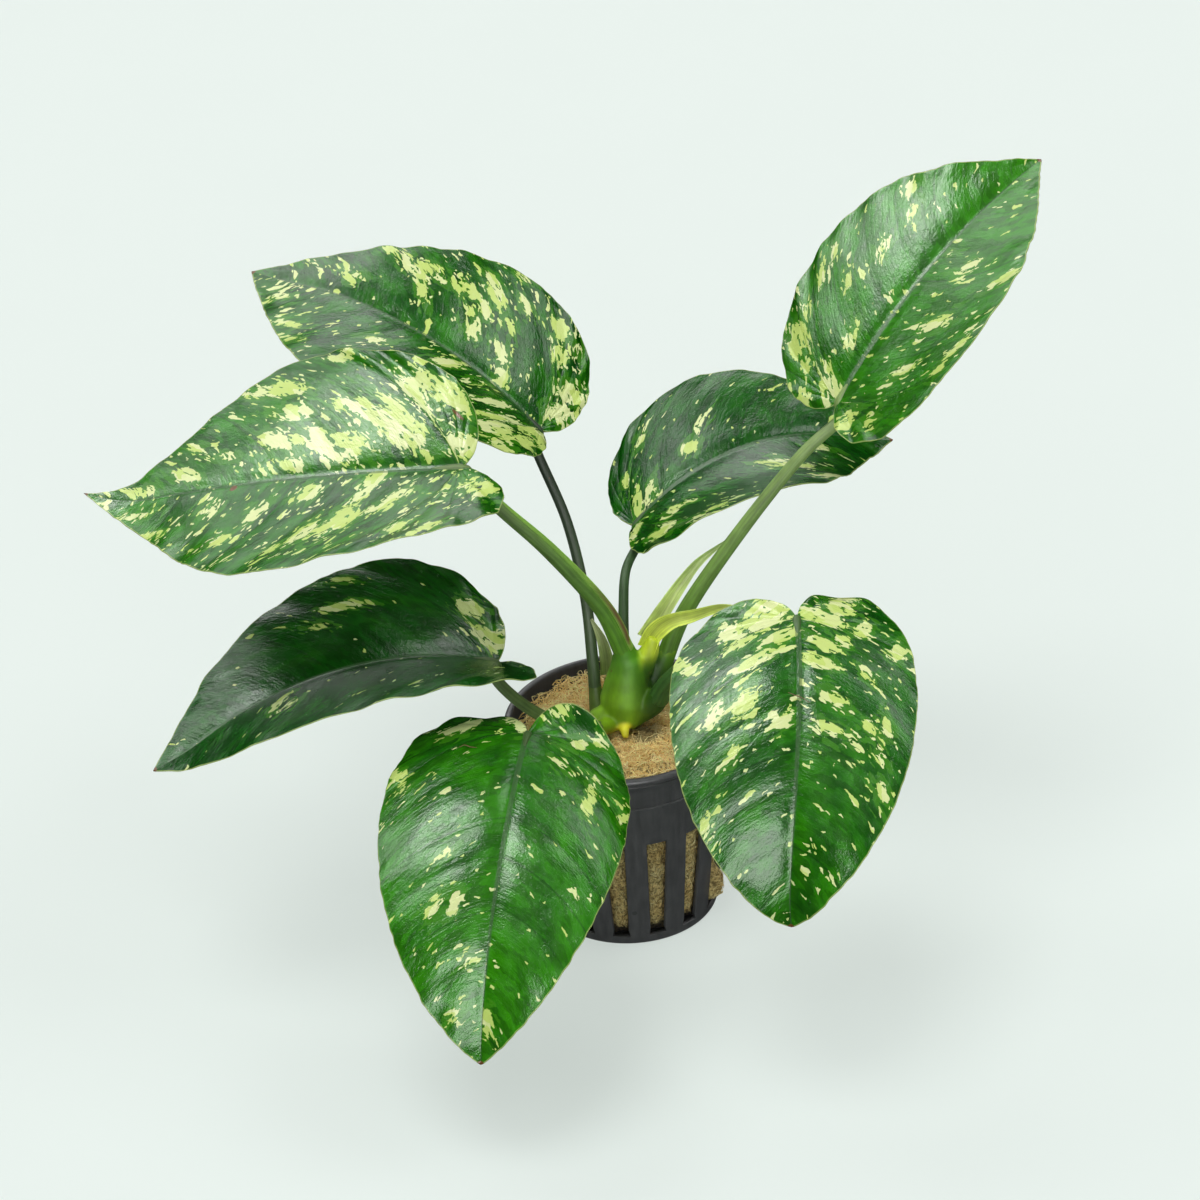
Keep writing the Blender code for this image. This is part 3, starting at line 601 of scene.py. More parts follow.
def read_leaf(tree, groups):
    """What both sides of a leaf are wired from: the place on it, its distances from midrib, margin and side
    vein, how brown it is, its marbling, its fine grain and the fine lines along its veins."""
    grain = read_values(tree, "grain")
    marks = parts_of(tree, read_values(tree, "marks"))
    pale, specks, brown = parts_of(tree, read_values(tree, "marbling"))
    marbling = place_group(tree, groups["marbling"], {"Grain": grain, "Pale": pale, "Specks": specks})
    fine = place_group(tree, groups["grain"], {"Place": place_in_mm(tree), "Size": 0.35})
    lines = noise(tree, stretched(tree, grain, (1.6, 0.12, 1.0)), 1.0, 3.0, 0.6)
    return grain, marks, brown, marbling, fine, lines


def make_leaf_face(groups):
    material, tree, shader = new_material("leaf face", 0.25, 0.28, 0.08, 0.16)
    grain, (rib, rim, vein), brown, marbling, fine, lines = read_leaf(tree, groups)
    fresh, rib_width, _ = parts_of(tree, read_values(tree, "growth"))
    cloud = noise(tree, grain, 0.12, 3.0)
    freshness = plus(tree, fresh, mask_between(tree, cloud, 0.3, 0.7, -0.25, 0.25))
    green = mixed(tree, mask_between(tree, freshness, 0.0, 1.0), DEEP_GREEN, FRESH_GREEN)
    green = shaded(tree, green, marbling["Mottle"], 0.75, 1.25)
    green = shaded(tree, green, fine["Tone"], 0.88, 1.12)
    # A darker line along each side vein: its own darker green and painted shade in its groove.
    green = mixed(tree, mask_between(tree, vein, 0.05, 0.45, 0.45, 0.0), green, VEIN_GREEN_AND_GROOVE_SHADE)
    green = mixed(tree, times(tree, marbling["Halo"], 0.55), green, HALO_GREEN)
    cream = mixed(tree, mask_between(tree, marbling["Tone"], 0.25, 0.75), LIME_PALE, CREAM)
    skin = mixed(tree, marbling["Mask"], green, cream)
    on_rib = mask_between(tree, maths(tree, "SUBTRACT", rib_width, rib), -0.12, 0.12)
    skin = mixed(tree, times(tree, on_rib, 0.65), skin, MIDRIB_GREY)
    skin = mixed(tree, mask_between(tree, rim, 0.08, 0.28, 0.7, 0.0), skin, MARGIN_YELLOW)
    skin = mixed(tree, mask_between(tree, brown, -0.15, 0.1), skin, DRIED_BROWN)
    wrinkles = noise(tree, stretched(tree, grain, (1.0, 0.55, 1.0)), 1.0, 2.0, 0.6)
    height = plus(tree, times(tree, fine["Height"], 0.5), times(tree, lines, 1.3))
    height = plus(tree, height, times(tree, wrinkles, 2.0))
    finish_skin(tree, shader, skin, fine["Tone"], (0.2, 0.28), height, 0.075)
    return material


def make_leaf_back(groups):
    material, tree, shader = new_material("leaf back", 0.6, 0.3)
    _, (rib, rim, vein), _, marbling, fine, lines = read_leaf(tree, groups)
    green = mixed(tree, marbling["Mottle"], BACK_DULL, BACK_GREEN)
    green = mixed(tree, mask_between(tree, vein, 0.1, 0.5, 0.5, 0.0), green, BACK_VEIN)
    skin = mixed(tree, times(tree, marbling["Mask"], 0.6), green, BACK_PALE)
    skin = mixed(tree, mask_between(tree, rib, 0.5, 1.3, 0.8, 0.0), skin, BACK_MIDRIB)
    skin = mixed(tree, mask_between(tree, rim, 0.16, 0.42, 0.8, 0.0), skin, MARGIN_YELLOW)
    skin = shaded(tree, skin, fine["Tone"], 0.85, 1.15)
    height = plus(tree, fine["Height"], lines)
    finish_skin(tree, shader, skin, fine["Tone"], (0.52, 0.68), height, 0.08)
    return material


def make_skin(name, groups, roughness, coat, streaks, depth):
    """The skin of stalks, crown and sheaths. Its colour comes with the mesh, and streaks run along it."""
    material, tree, shader = new_material(name, roughness, 0.3, coat, 0.25)
    place = place_in_mm(tree)
    lines = place_group(tree, groups["streaks"], {"Length": read_values(tree, "length"), "Count": streaks})
    fine = place_group(tree, groups["grain"], {"Place": place, "Size": 0.5})
    flecks = place_group(tree, groups["flecks"], {"Place": place, "Size": 1.6, "Share": 0.05})
    skin = shaded(tree, read_values(tree, "own colour", "Color"), lines["Tone"], 0.72, 1.32)
    skin = shaded(tree, skin, fine["Tone"], 0.85, 1.15)
    skin = mixed(tree, times(tree, flecks["Mask"], 0.6), skin, DRIED_BROWN)
    height = plus(tree, lines["Height"], times(tree, fine["Height"], 0.3))
    finish_skin(tree, shader, skin, lines["Tone"], (roughness - 0.06, roughness + 0.08), height, depth)
    return material


# Where the wool is in shade: below two heights in the pot, and near the hollow by the crown. Each says up
# to where it is darkest, where the shade ends, and how bright the darkest is.
WALL_SHADE = (30.0, 44.0, 0.6)
FOOT_SHADE = (3.5, 6.5, 0.12)
HOLLOW_SHADE = (2.0, 5.0, 0.4)


def make_wool_finish(name, low, high, crevice_shade, depth):
    """Matted wool between two colours, with painted shade in its crevices where its bumps are low, a
    painted lighter tone on their tops, and painted shade low in the pot, at the foot of the slots and near
    the hollow by the crown. How bright the painted shade in its crevices is comes as the fourth value.
    """
    material, tree, shader = new_material(name, 1.0, 0.1)
    place = place_in_mm(tree)
    cloud = noise(tree, place, 0.16, 3.0, 0.6)
    mat = noise(tree, place, 1.4, 4.0, 0.7)
    skin = mixed(tree, mask_between(tree, cloud, 0.3, 0.7), low, high)
    # Painted shade in the crevices, where the bumps are low, and a painted lighter tone on the bumps' tops.
    skin = scaled_by(tree, skin, mask_between(tree, mat, 0.36, 0.62, crevice_shade, 1.3))
    height = parts_of(tree, place)["Z"]
    hollow = vector_maths(tree, "SUBTRACT", place, HOLLOW_AT)
    hollow = vector_maths(tree, "LENGTH", hollow, (0.0, 0.0, 0.0))
    for value, (dark_until, light_from, dark) in ((height, WALL_SHADE), (height, FOOT_SHADE),
                                                  (hollow, HOLLOW_SHADE)):
        skin = scaled_by(tree, skin, mask_between(tree, value, dark_until, light_from, dark, 1.0))
    finish_skin(tree, shader, skin, mat, (0.85, 1.0), mat, depth)
    return material


def make_pot_plastic(groups):
    material, tree, shader = new_material("pot plastic", 0.42, 0.5)
    place = place_in_mm(tree)
    fine = place_group(tree, groups["grain"], {"Place": place, "Size": 0.5})
    flecks = place_group(tree, groups["flecks"], {"Place": place, "Size": 2.6, "Share": 0.12})
    drawn = noise(tree, stretched(tree, place, (0.9, 0.9, 0.08)), 1.0, 3.0)
    skin = shaded(tree, shaded(tree, POT_BLACK, drawn, 0.85, 1.2), fine["Tone"], 0.9, 1.12)
    skin = mixed(tree, times(tree, flecks["Mask"], 0.5), skin, POT_FLECK)
    height = plus(tree, fine["Height"], drawn)
    finish_skin(tree, shader, skin, drawn, (0.38, 0.5), height, 0.03)
    return material


def make_dried_fibre():
    material, tree, shader = new_material("dried fibre", 0.7, 0.3)
    patchy = noise(tree, place_in_mm(tree), 1.5, 2.0)
    feed(tree, shader["Base Color"], mixed(tree, patchy, LINT_DARK, LINT_BROWN))
    return material


# Leaves.

LEAF_ROWS = 221
LEAF_LANES = 45
LANE_CROWDING = 0.115
FAN_SHARE = 0.45
OUTLINE_STEPS = 220
MIDRIB_STEPS = 400
TIP_FROM = 0.8
LEAF_THICKNESS = 0.5
MARGIN_THICKNESS = 0.22
SIDE_VEINS = 12
BAND_RISE = 0.36
WIDEST_BAND = 7.0
GROOVE_DEPTH = 0.5
RIDGE_HEIGHT = 0.12
SLOW_RISE = 0.2
KEEL_DEPTH = 0.75
HALVES_APART = 200.0
OUTSIDE_PATCHES = -4.0
PATCH_ROUNDING = 2.4
TIP_BROWNED = 1.0
MARGIN_RIPPLE = 0.55
MARGIN_NOTCH = 0.22


def bezier(points, t):
    a, b, c, d = np.array(points, float)
    t = t[:, None]
    return (1 - t)**3 * a + 3 * (1 - t)**2 * t * b + 3 * (1 - t) * t**2 * c + t**3 * d


def blade_outline(blade, half, count):
    """One half of a flat blade, from the notch round the lobe to the tip: x along the midrib, y across."""
    length, width, lobe = blade["length"], blade["width"][half], blade["lobe"][half]
    widest = blade["widest"] * length
    back = ((0, 0), (-1.7 * lobe, 0.1 * width), (-1.5 * lobe, width), (widest, width))
    front = ((widest, width), (widest + blade["shoulder"] * (length - widest), width),
             (0.78 * length, blade["hollow"] * width), (length, 0))
    t = np.linspace(0, 1, OUTLINE_STEPS)
    points = np.concatenate([bezier(back, t), bezier(front, t)[1:]])
    run = run_along(points)
    even = np.linspace(0, run[-1], count)
    return xyz(np.interp(even, run, points[:, 0]), np.interp(even, run, points[:, 1]))


def along_vein(blade, u, edge, v):
    """Places on the flat blade along the side veins: u is which vein, as a share of the way round the
    margin, edge its end there, and v how far along it they are, 0 being at the midrib."""
    root = blade["length"] * np.clip((u - FAN_SHARE) / (1 - FAN_SHARE), 0, None)
    start = xyz(root, 0 * root)
    bend = xyz(root + 0.25 * (edge[..., 0] - root), 0.6 * edge[..., 1])
    return (1 - v)**2 * start + 2 * v * (1 - v) * bend + v**2 * edge


def midrib(blade):
    """Places, directions and headings along a blade's midrib."""
    s = np.linspace(0, 1, MIDRIB_STEPS + 1)
    between = (s[1:] + s[:-1]) / 2

    def direction(s):
        lift = blade["tip_lift"] * smoothstep(TIP_FROM, 1, s)
        pitch = np.radians(blade["pitch"] - blade["droop"] * s + lift)
        heading = np.radians(blade["heading"] + blade["sweep"] * s)
        level = np.stack([np.cos(heading), np.sin(heading)]) * np.cos(pitch)
        return np.stack([*level, np.sin(pitch)], -1), heading

    steps = direction(between)[0] * blade["length"] / MIDRIB_STEPS
    places = np.concatenate([[np.zeros(3)], np.cumsum(steps, 0)]) + np.array(blade["at"])
    return s, places, *direction(s)


def blade_surface(blade, flat, half):
    """Bends points of the flat blade into place. Half 0 is left of the midrib, seen from above, 1 right."""
    s, places, directions, headings = midrib(blade)
    side = 1 - 2 * half
    x, y = flat[:, 0], flat[:, 1]
    q = np.clip(x / blade["length"], 0, 1)
    middle = between_rows(q, s, places)
    along = unit(between_rows(q, s, directions))
    heading = np.interp(q, s, headings)
    level = xyz(-np.sin(heading), np.cos(heading), 0.0)
    above = np.cross(along, level)
    roll = np.radians(blade["roll"] + blade["twist"] * q)[:, None]
    across = np.cos(roll) * level + np.sin(roll) * above
    normal = np.cos(roll) * above - np.sin(roll) * level
    fold = np.radians(blade["fold"][half] + (blade["fold_tip"] - blade["fold"][half]) * q**1.5)
    bend = np.radians(blade["cup"][half]) / blade["width"][half]
    out = (np.sin(fold + bend * y) - np.sin(fold)) / bend
    up = (np.cos(fold) - np.cos(fold + bend * y)) / bend
    curl = np.radians(blade["lobe_curl"][half]) * np.clip(-x / blade["lobe"][half], 0, 1.2) / 2
    behind = np.minimum(x, 0.0)
    return (middle + side * out[:, None] * across + up[:, None] * normal
            + (behind * np.cos(curl))[:, None] * along - (behind * np.sin(curl))[:, None] * normal)


def leaf_half(blade, half, seed):
    """The middle surface of one half, in rows along its side veins, with the measures of each point: across
    and along the veins, from the midrib, from the margin and from the nearest side vein."""
    draw = np.random.default_rng(seed)
    rim = blade_outline(blade, half, LEAF_ROWS)
    u = np.linspace(0, 1, LEAF_ROWS)
    run = run_along(rim)
    outward = np.gradient(rim, axis=0)
    outward = unit(xyz(-outward[:, 1], outward[:, 0]))
    ends = smoothstep(0, 0.06, u) * smoothstep(1, 0.94, u)
    notch = slow_waves(run[:, None], 4.0, seed + 1) * 0.5 + slow_waves(run[:, None], 9.0, seed + 2) * 0.5
    rim = rim + (MARGIN_NOTCH * notch * ends)[:, None] * outward
    t = np.linspace(0, 1, LEAF_LANES + 1)
    v = t - LANE_CROWDING * np.sin(2 * math.pi * t)
    flat = along_vein(blade, u[:, None], rim[:, None], v[None, :, None])
    along = np.cumsum(np.linalg.norm(np.diff(flat, axis=1), axis=2), axis=1)
    along = np.concatenate([np.zeros((LEAF_ROWS, 1)), along], 1)
    places = blade_surface(blade, flat.reshape(-1, 2), half).reshape(*flat.shape[:2], 3)

    even = (np.arange(1, SIDE_VEINS + 1) - 0.4) / (SIDE_VEINS + 0.4)
    veins = even + draw.uniform(-0.22, 0.22, SIDE_VEINS) / SIDE_VEINS
    bounds = np.concatenate([[0.0], veins, [1.0]])
    band = np.clip(np.searchsorted(bounds, u, side="right") - 1, 0, len(bounds) - 2)
    wide = bounds[band + 1] - bounds[band]
    spread = np.linalg.norm(np.gradient(flat, axis=0), axis=2) / (run[-1] / (LEAF_ROWS - 1))
    to_vein = np.abs(u[:, None] - veins[None]).min(1)[:, None] * run[-1] * spread
    border = int(round(FAN_SHARE * (LEAF_ROWS - 1)))
    ahead = unit(flat[border, -1] - flat[border, 0])
    in_fan = smoothstep(FAN_SHARE + 0.1, FAN_SHARE - 0.12, u)[:, None]
    from_border = (run - run[border])[:, None]
    across_veins = (1 - in_fan) * from_border + in_fan * (flat @ np.array((ahead[1], -ahead[0])))
    along_veins = (1 - in_fan) * along + in_fan * (flat @ ahead)
    return dict(half=half, u=u, v=v, x=flat[..., 0], y=flat[..., 1], run=run, places=places, along=along,
                q=np.clip(flat[..., 0] / blade["length"], 0, 1), to_rim=along[:, -1:] - along,
                phase=(u - bounds[band]) / wide, band_width=wide[:, None] * run[-1] * spread,
                to_vein=to_vein, across_veins=across_veins, along_veins=along_veins,
                width_scale=in_fan + (1 - in_fan) * spread)


def leaf_relief(part, seed, rise):
    """How far the skin stands off the middle surface: bands that swell between the side veins, a groove
    with the raised midrib in it, slow unevenness and a rippled margin."""
    x, y, q = part["x"], part["y"], part["q"]
    u, v = part["u"][:, None], part["v"][None]
    side = 1 - 2 * part["half"]
    ends = smoothstep(0.0, 0.08, u) * smoothstep(1.0, 0.9, u)
    swell = np.sin(math.pi * part["phase"])[:, None]**0.7 - 0.5
    bands = rise * swell * np.clip(part["band_width"] / WIDEST_BAND, 0, 1)
    bands *= smoothstep(0.02, 0.2, v) * smoothstep(1.05, 0.5, v) * ends
    beside = smoothstep(-3.0, 1.0, x)
    groove = -GROOVE_DEPTH * np.exp(-(y / 2.1)**2) * (1 - 0.6 * q) * beside
    ridge = RIDGE_HEIGHT * np.exp(-(y / 0.6)**2) * (1 - q)**0.6 * beside
    uneven = SLOW_RISE * slow_waves(xyz(x, side * y), 17.0, seed) * smoothstep(0, 9, part["along"])
    ripple = slow_waves(part["run"][:, None], 12.0, seed + 5 + part["half"])[:, None]
    ripple = MARGIN_RIPPLE * ripple * smoothstep(0.6, 1.0, v) * ends
    return bands + groove + ridge + uneven * ends + ripple


def leaf_numbers(fan_rows):
    """A number for each point of both halves, shared at the stalk, along the midrib and at the tip."""
    numbers = np.arange(2 * LEAF_ROWS * (LEAF_LANES + 1)).reshape(2, LEAF_ROWS, LEAF_LANES + 1)
    own = numbers.copy()
    own[:, 0, :] = 0
    own[:, :fan_rows, 0] = 0
    own[1, fan_rows:, 0] = own[0, fan_rows:, 0]
    own[:, -1, :] = own[0, -1, 0]
    kept, shared = np.unique(own, return_inverse=True)
    return numbers, shared.reshape(own.shape), kept


def band_faces(first, second, turned):
    """Triangles between two rows of numbers, or over a whole grid of them."""
    quads = np.stack([first[..., :-1], first[..., 1:], second[..., 1:], second[..., :-1]], -1)
    quads = quads.reshape(-1, 4)
    if turned:
        quads = quads[:, ::-1]
    return np.concatenate([quads[:, [0, 1, 2]], quads[:, [0, 2, 3]]])


def pale_field(patches, part, solid):
    """How far inside the nearest patch each point is, in millimetres, and negative outside them."""
    field = np.full(part["along"].shape, OUTSIDE_PATCHES)
    for half, round_share, out_share, across, lengthwise in patches:
        if half != part["half"]:
            continue
        row = int(round(round_share / 100 * (LEAF_ROWS - 1)))
        lane = int(np.argmin(np.abs(part["along"][row] - out_share / 100 * part["along"][row, -1])))
        off_across = np.abs(part["across_veins"] - part["across_veins"][row, lane])
        off_across = off_across * part["width_scale"] / across
        off_along = np.abs(part["along_veins"] - part["along_veins"][row, lane]) / lengthwise
        reach = (off_across**PATCH_ROUNDING + off_along**PATCH_ROUNDING)**(1 / PATCH_ROUNDING)
        field = np.maximum(field, (1 - reach) * min(2.5, 0.9 * math.sqrt(across * lengthwise)))
    return np.clip(field, OUTSIDE_PATCHES, solid)


def leaf_values(index, name, blade, part):
    """What the finish reads at each point of one half: its place on the leaf, which is apart from those of
    all other halves, its distances from midrib, margin and side vein, its marbling and its growth."""
    x, y, q = part["x"], part["y"], part["q"]
    finish = MARBLING[name]
    start = HALVES_APART * (2 * index + part["half"])
    brown = np.maximum(pale_field(BROWN_SPOTS.get(name, ()), part, 1.0),
                       TIP_BROWNED - np.hypot(x - blade["length"], y))
    return {
        "grain": xyz(part["across_veins"] + start, part["along_veins"], 0.0),
        "marks": xyz(np.hypot(y, np.minimum(x, 0)), part["to_rim"], part["to_vein"]),
        "marbling": xyz(pale_field(finish["patches"], part, finish["solid"]), finish["specks"], brown),
        "growth": xyz(finish["fresh"] * (0.7 + 0.5 * q), 0.6 * (1 - q)**0.8 + 0.1, 0.0),
    }


def make_leaf(index, name, blade, face, back):
    seed = 100 * (index + 1)
    halves = [leaf_half(blade, half, seed + 10 * half) for half in (0, 1)]
    numbers, shared, kept = leaf_numbers(int(np.sum(halves[0]["u"] <= FAN_SHARE + 1e-9)))

    def gathered(values):
        """One row of values for each shared point."""
        return np.concatenate([value.reshape(-1, *value.shape[2:]) for value in values])[kept]

    middle, across, q, to_rim = (gathered([part[key] for part in halves])
                                 for key in ("places", "y", "q", "to_rim"))
    relief = gathered([leaf_relief(part, seed, BAND_RISE * MARBLING[name]["bands"]) for part in halves])
    thick = MARGIN_THICKNESS + (LEAF_THICKNESS - MARGIN_THICKNESS) * smoothstep(0, 3.0, to_rim)
    keel = KEEL_DEPTH * np.exp(-(across / 1.1)**2) * (1 - q)**0.7

    sheet, sheet_corners = (
        np.concatenate([band_faces(grid[half][:-1], grid[half][1:], half == 0) for half in (0, 1)])
        for grid in (shared, numbers))
    whole = (sheet[:, 0] != sheet[:, 1]) & (sheet[:, 1] != sheet[:, 2]) & (sheet[:, 2] != sheet[:, 0])
    sheet, sheet_corners = sheet[whole], sheet_corners[whole]

    a, b, c = (middle[sheet[:, k]] for k in range(3))
    normals = np.zeros_like(middle)
    for k in range(3):
        np.add.at(normals, sheet[:, k], np.cross(b - a, c - a))
    normals /= np.linalg.norm(normals, axis=1)[:, None]
    top = middle + normals * (relief + thick / 2)[:, None]
    bottom = middle + normals * (0.8 * relief - thick / 2 - keel)[:, None]

    count = len(middle)
    rim_points, rim_faces, rim_corners = [], [], []
    for half in (0, 1):
        rim, inner = shared[half][:, -1], shared[half][:, -2]
        rim_points.append((top[rim] + bottom[rim]) / 2 + 0.1 * unit(middle[rim] - middle[inner]))
        ring = 2 * count + half * LEAF_ROWS + np.arange(LEAF_ROWS)
        if half:
            ring[0], ring[-1] = 2 * count, 2 * count + LEAF_ROWS - 1
        line = numbers[half][:, -1]
        for upper, lower in ((rim, ring), (ring, rim + count)):
            rim_faces.append(band_faces(upper, lower, half == 1))
            rim_corners.append(band_faces(line, line, half == 1))
    points = np.concatenate([top, bottom, *rim_points])
    faces = np.concatenate([sheet, sheet[:, ::-1] + count, *rim_faces])
    corners = np.concatenate([sheet_corners, sheet_corners[:, ::-1], *rim_corners])
    is_back = np.zeros(len(faces))
    is_back[len(sheet):2 * len(sheet)] = 1

    obj = make_piece("blade_" + name, points, faces, (face, back), "blade_" + name, is_back)
    first, second = (leaf_values(index, name, blade, part) for part in halves)
    for value_name in first:
        grid = np.concatenate([first[value_name].reshape(-1, 3), second[value_name].reshape(-1, 3)])
        add_values(obj.data, value_name, "FLOAT_VECTOR", "CORNER", grid[corners.ravel()])
    return obj


# Stalks, crown and sheaths.

STALK_SIDES = 28
STALK_RINGS = 90
STALK_BELOW = 4.5
STALK_BEHIND = 2.0
KEEL_REACH = 0.09


def smooth_curve(points, count):
    """Points on a smooth curve through the given ones (Catmull-Rom), and where each is among them."""
    points = np.array(points, float)
    ends = np.concatenate([[2 * points[0] - points[1]], points, [2 * points[-1] - points[-2]]])
    spans = len(points) - 1
    where = np.linspace(0, spans, count)
    k = np.minimum(where.astype(int), spans - 1)
    t = (where - k)[:, None]
    a, b, c, d = (ends[k + i] for i in range(4))
    squared, cubed = 2 * a - 5 * b + 4 * c - d, 3 * b - a - 3 * c + d
    return 0.5 * (2 * b + (c - a) * t + squared * t**2 + cubed * t**3), where


def frames_along(curve, facing):
    """Side and upper directions at each point of a curve."""
    sides, ups = [], []
    up = np.array(facing, float)
    for direction in unit(np.gradient(curve, axis=0)):
        side = unit(np.cross(direction, up))
        up = np.cross(side, direction)
        sides.append(side)
        ups.append(up)
    return np.array(sides), np.array(ups)


def tube_faces(rings, sides):
    """The triangles of a closed tube of rings, with both ends closed by a middle point each."""
    numbers = np.arange(rings * sides).reshape(rings, sides)
    numbers = np.concatenate([numbers, numbers[:, :1]], 1)
    body = band_faces(numbers[:-1], numbers[1:], False)
    first, last = (xyz(numbers[row, :-1], numbers[row, 1:], middle)
                   for row, middle in ((0, rings * sides), (-1, rings * sides + 1)))
    return np.concatenate([body, first[:, ::-1], last])


def tube_points(curve, side, up, radii, turns):
    """Rings of points about a curve, then the middles of its ends. Radii are one for each ring and turn."""
    spokes = np.cos(turns)[None, :, None] * side[:, None] + np.sin(turns)[None, :, None] * up[:, None]
    rings = curve[:, None] + radii[..., None] * spokes
    return np.concatenate([rings.reshape(-1, 3), curve[:1], curve[-1:]])


def stalk_line(stalk, blade):
    """A stalk's middle line with its side and upper directions, where each point is among the given ones,
    and which of those is the one at the blade. The line runs on under the blade's midrib."""
    _, places, directions, headings = midrib(blade)
    along = directions[0]
    level = np.array([-math.sin(headings[0]), math.cos(headings[0]), 0.0])
    above = np.cross(along, level)
    roll = math.radians(blade["roll"])
    normal = math.cos(roll) * above - math.sin(roll) * level
    given = [*stalk["route"], places[0] - STALK_BELOW * normal - STALK_BEHIND * along,
             places[0] - 0.9 * normal, places[int(KEEL_REACH * MIDRIB_STEPS)] - 0.7 * normal]
    curve, where = smooth_curve(given, STALK_RINGS)
    return curve, *frames_along(curve, (0.1, -1.0, 0.35)), where, len(given) - 2


def stalk_radius(stalk, share):
    foot, top = (thick / 2 for thick in stalk["thick"])
    return top + (foot - top) * (1 - np.clip(share, 0, 1))**2


def make_stalk(name, stalk, blade, material):
    """A stalk with faint ribs, thicker at its foot and at the joint under its blade, that runs on into the
    blade's midrib."""
    curve, side, up, where, at_blade = stalk_line(stalk, blade)
    share = np.clip(where / at_blade, 0, 1)
    tail = np.clip(where - at_blade, 0, 1)
    joint = 0.12 * np.exp(-((share - 0.93) / 0.035)**2) - 0.05 * np.exp(-((share - 0.84) / 0.03)**2)
    radius = stalk_radius(stalk, share) * (1 + joint) * (1 - 0.7 * tail)
    turns = turns_round(STALK_SIDES)
    ribs = 1 + stalk["ribs"] * (np.sin(7 * turns) + 0.5 * np.sin(4 * turns + 1.0))
    points = tube_points(curve, side, up, radius[:, None] * ribs[None], turns)
    faces = tube_faces(STALK_RINGS, STALK_SIDES)
    obj = make_piece("petiole_" + name, points, faces, (material,), "petiole_" + name)
    length = xyz(np.cos(turns)[None], np.sin(turns)[None], 0.3 * run_along(curve)[:, None])
    tint = tinted(np.array(stalk["foot"]), smoothstep(0.0, 0.7, share), stalk["top"])
    add_skin_values(obj.data, length, np.repeat(tint, STALK_SIDES, 0))
    return obj


STRIP_RINGS = 50
STRIP_SIDES = 12
STRIP_REACH = 0.62
STRIP_PALE = (0.24, 0.46, 0.06)
STRIP_BROWN = (0.15, 0.06, 0.03)


def make_stalk_strip(material):
    """The thin edge of an old sheath that still clings to the left stalk, dried brown near its foot."""
    stalk = STALKS["left"]
    *line, where, at_blade = stalk_line(stalk, BLADES["left"])
    steps = np.arange(STALK_RINGS)
    picked = np.linspace(1, STRIP_REACH * STALK_RINGS, STRIP_RINGS)
    curve, side, up = (between_rows(picked, steps, rows) for rows in line)
    share = np.linspace(0, 1, STRIP_RINGS)
    radius = stalk_radius(stalk, np.interp(picked, steps, where) / at_blade)
    turn = np.radians(38 - 30 * share)[:, None]
    outward = np.cos(turn) * side + np.sin(turn) * up
    sideways = -np.sin(turn) * side + np.cos(turn) * up
    lift = 0.75 * np.clip(share / 0.1, 0.3, 1) * (1 - share)**0.5 + 0.1
    wide = 0.85 * (1 - share)**0.6 + 0.12
    turns = turns_round(STRIP_SIDES)
    middle = curve + (radius - 0.15)[:, None] * outward
    points = tube_points(middle, lift[:, None] * outward, wide[:, None] * sideways,
                         np.ones((STRIP_RINGS, STRIP_SIDES)), turns)
    faces = tube_faces(STRIP_RINGS, STRIP_SIDES)
    obj = make_piece("stalk_strip", points, faces, (material,), "petiole_left")
    dried = smoothstep(0.42, 0.2, share) * smoothstep(0.0, 0.06, share)
    ridge = np.clip(np.cos(turns - 0.5), 0, 1)**3
    tint = tinted(np.array(STRIP_PALE), dried[:, None] * ridge, STRIP_BROWN)
    length = xyz(np.cos(turns)[None], np.sin(turns)[None], 3.0 * share[:, None])
    add_skin_values(obj.data, length, tint)


def add_skin_values(mesh, length, tint):
    """Adds where each point is along its piece and its own colour. End middles take the last of each."""
    length, tint = length.reshape(-1, 3), tint.reshape(-1, 3)
    missing = len(mesh.vertices) - len(length)
    length, tint = (np.concatenate([rows, np.repeat(rows[-1:], missing, 0)]) for rows in (length, tint))
    tint = np.concatenate([tint, np.ones((len(tint), 1))], 1)
    add_values(mesh, "length", "FLOAT_VECTOR", "POINT", length)
    add_values(mesh, "own colour", "FLOAT_COLOR", "POINT", tint)


CROWN_VOXEL = 0.36
CROWN_SIDES = 36
CROWN_RINGS = 30
BRANCH_RINGS = 16
CROWN_SEED = 41
# What grows out of the crown, the stub and the root nub first, then the swollen feet of the stalks and the
# curved sheath: the points each passes and its radii.
CROWN_BRANCHES = (
    (STUB_ROUTE, STUB_RADII),
    (ROOT_ROUTE, ROOT_RADII),
    (((2.4, -2.4, 58), (2.2, -2.2, 66), (1.2, -2.5, 72.5)), (4.6, 3.3, 2.0)),
    (((4.0, -0.5, 54), (7.8, 1.4, 58), (12.4, 3.0, 66.5)), (3.6, 3.1, 1.9)),
    (((3.2, -3.4, 54), (7.2, -5.6, 57), (9.9, -7.5, 61)), (3.8, 3.1, 2.1)),
    (((1.2, 0.0, 54), (1.4, 3.2, 60), (1.9, 7.2, 66.5)), (3.2, 2.2, 1.15)),
    (((-3.4, -3.0, 51.5), (-5.0, 0.0, 52), (-5.5, 2.8, 58)), (2.6, 2.1, 1.4)),
    (((-1.4, -5.4, 52.6), (-3.6, -8.2, 53.4), (-6.4, -12.4, 55.2)), (2.6, 2.1, 1.4)),
    (((-4.0, -5.0, 52.4), (-8.2, -6.4, 53), (-12, -6.6, 53.6)), (2.8, 2.1, 1.5)),
    (((5.0, -0.4, 62), (7.4, -1.2, 68), (8.8, -1.4, 72)), (2.6, 2.3, 1.3)),
)
CROWN_LIME = (0.20, 0.38, 0.005)
CROWN_GREEN = (0.07, 0.24, 0.006)
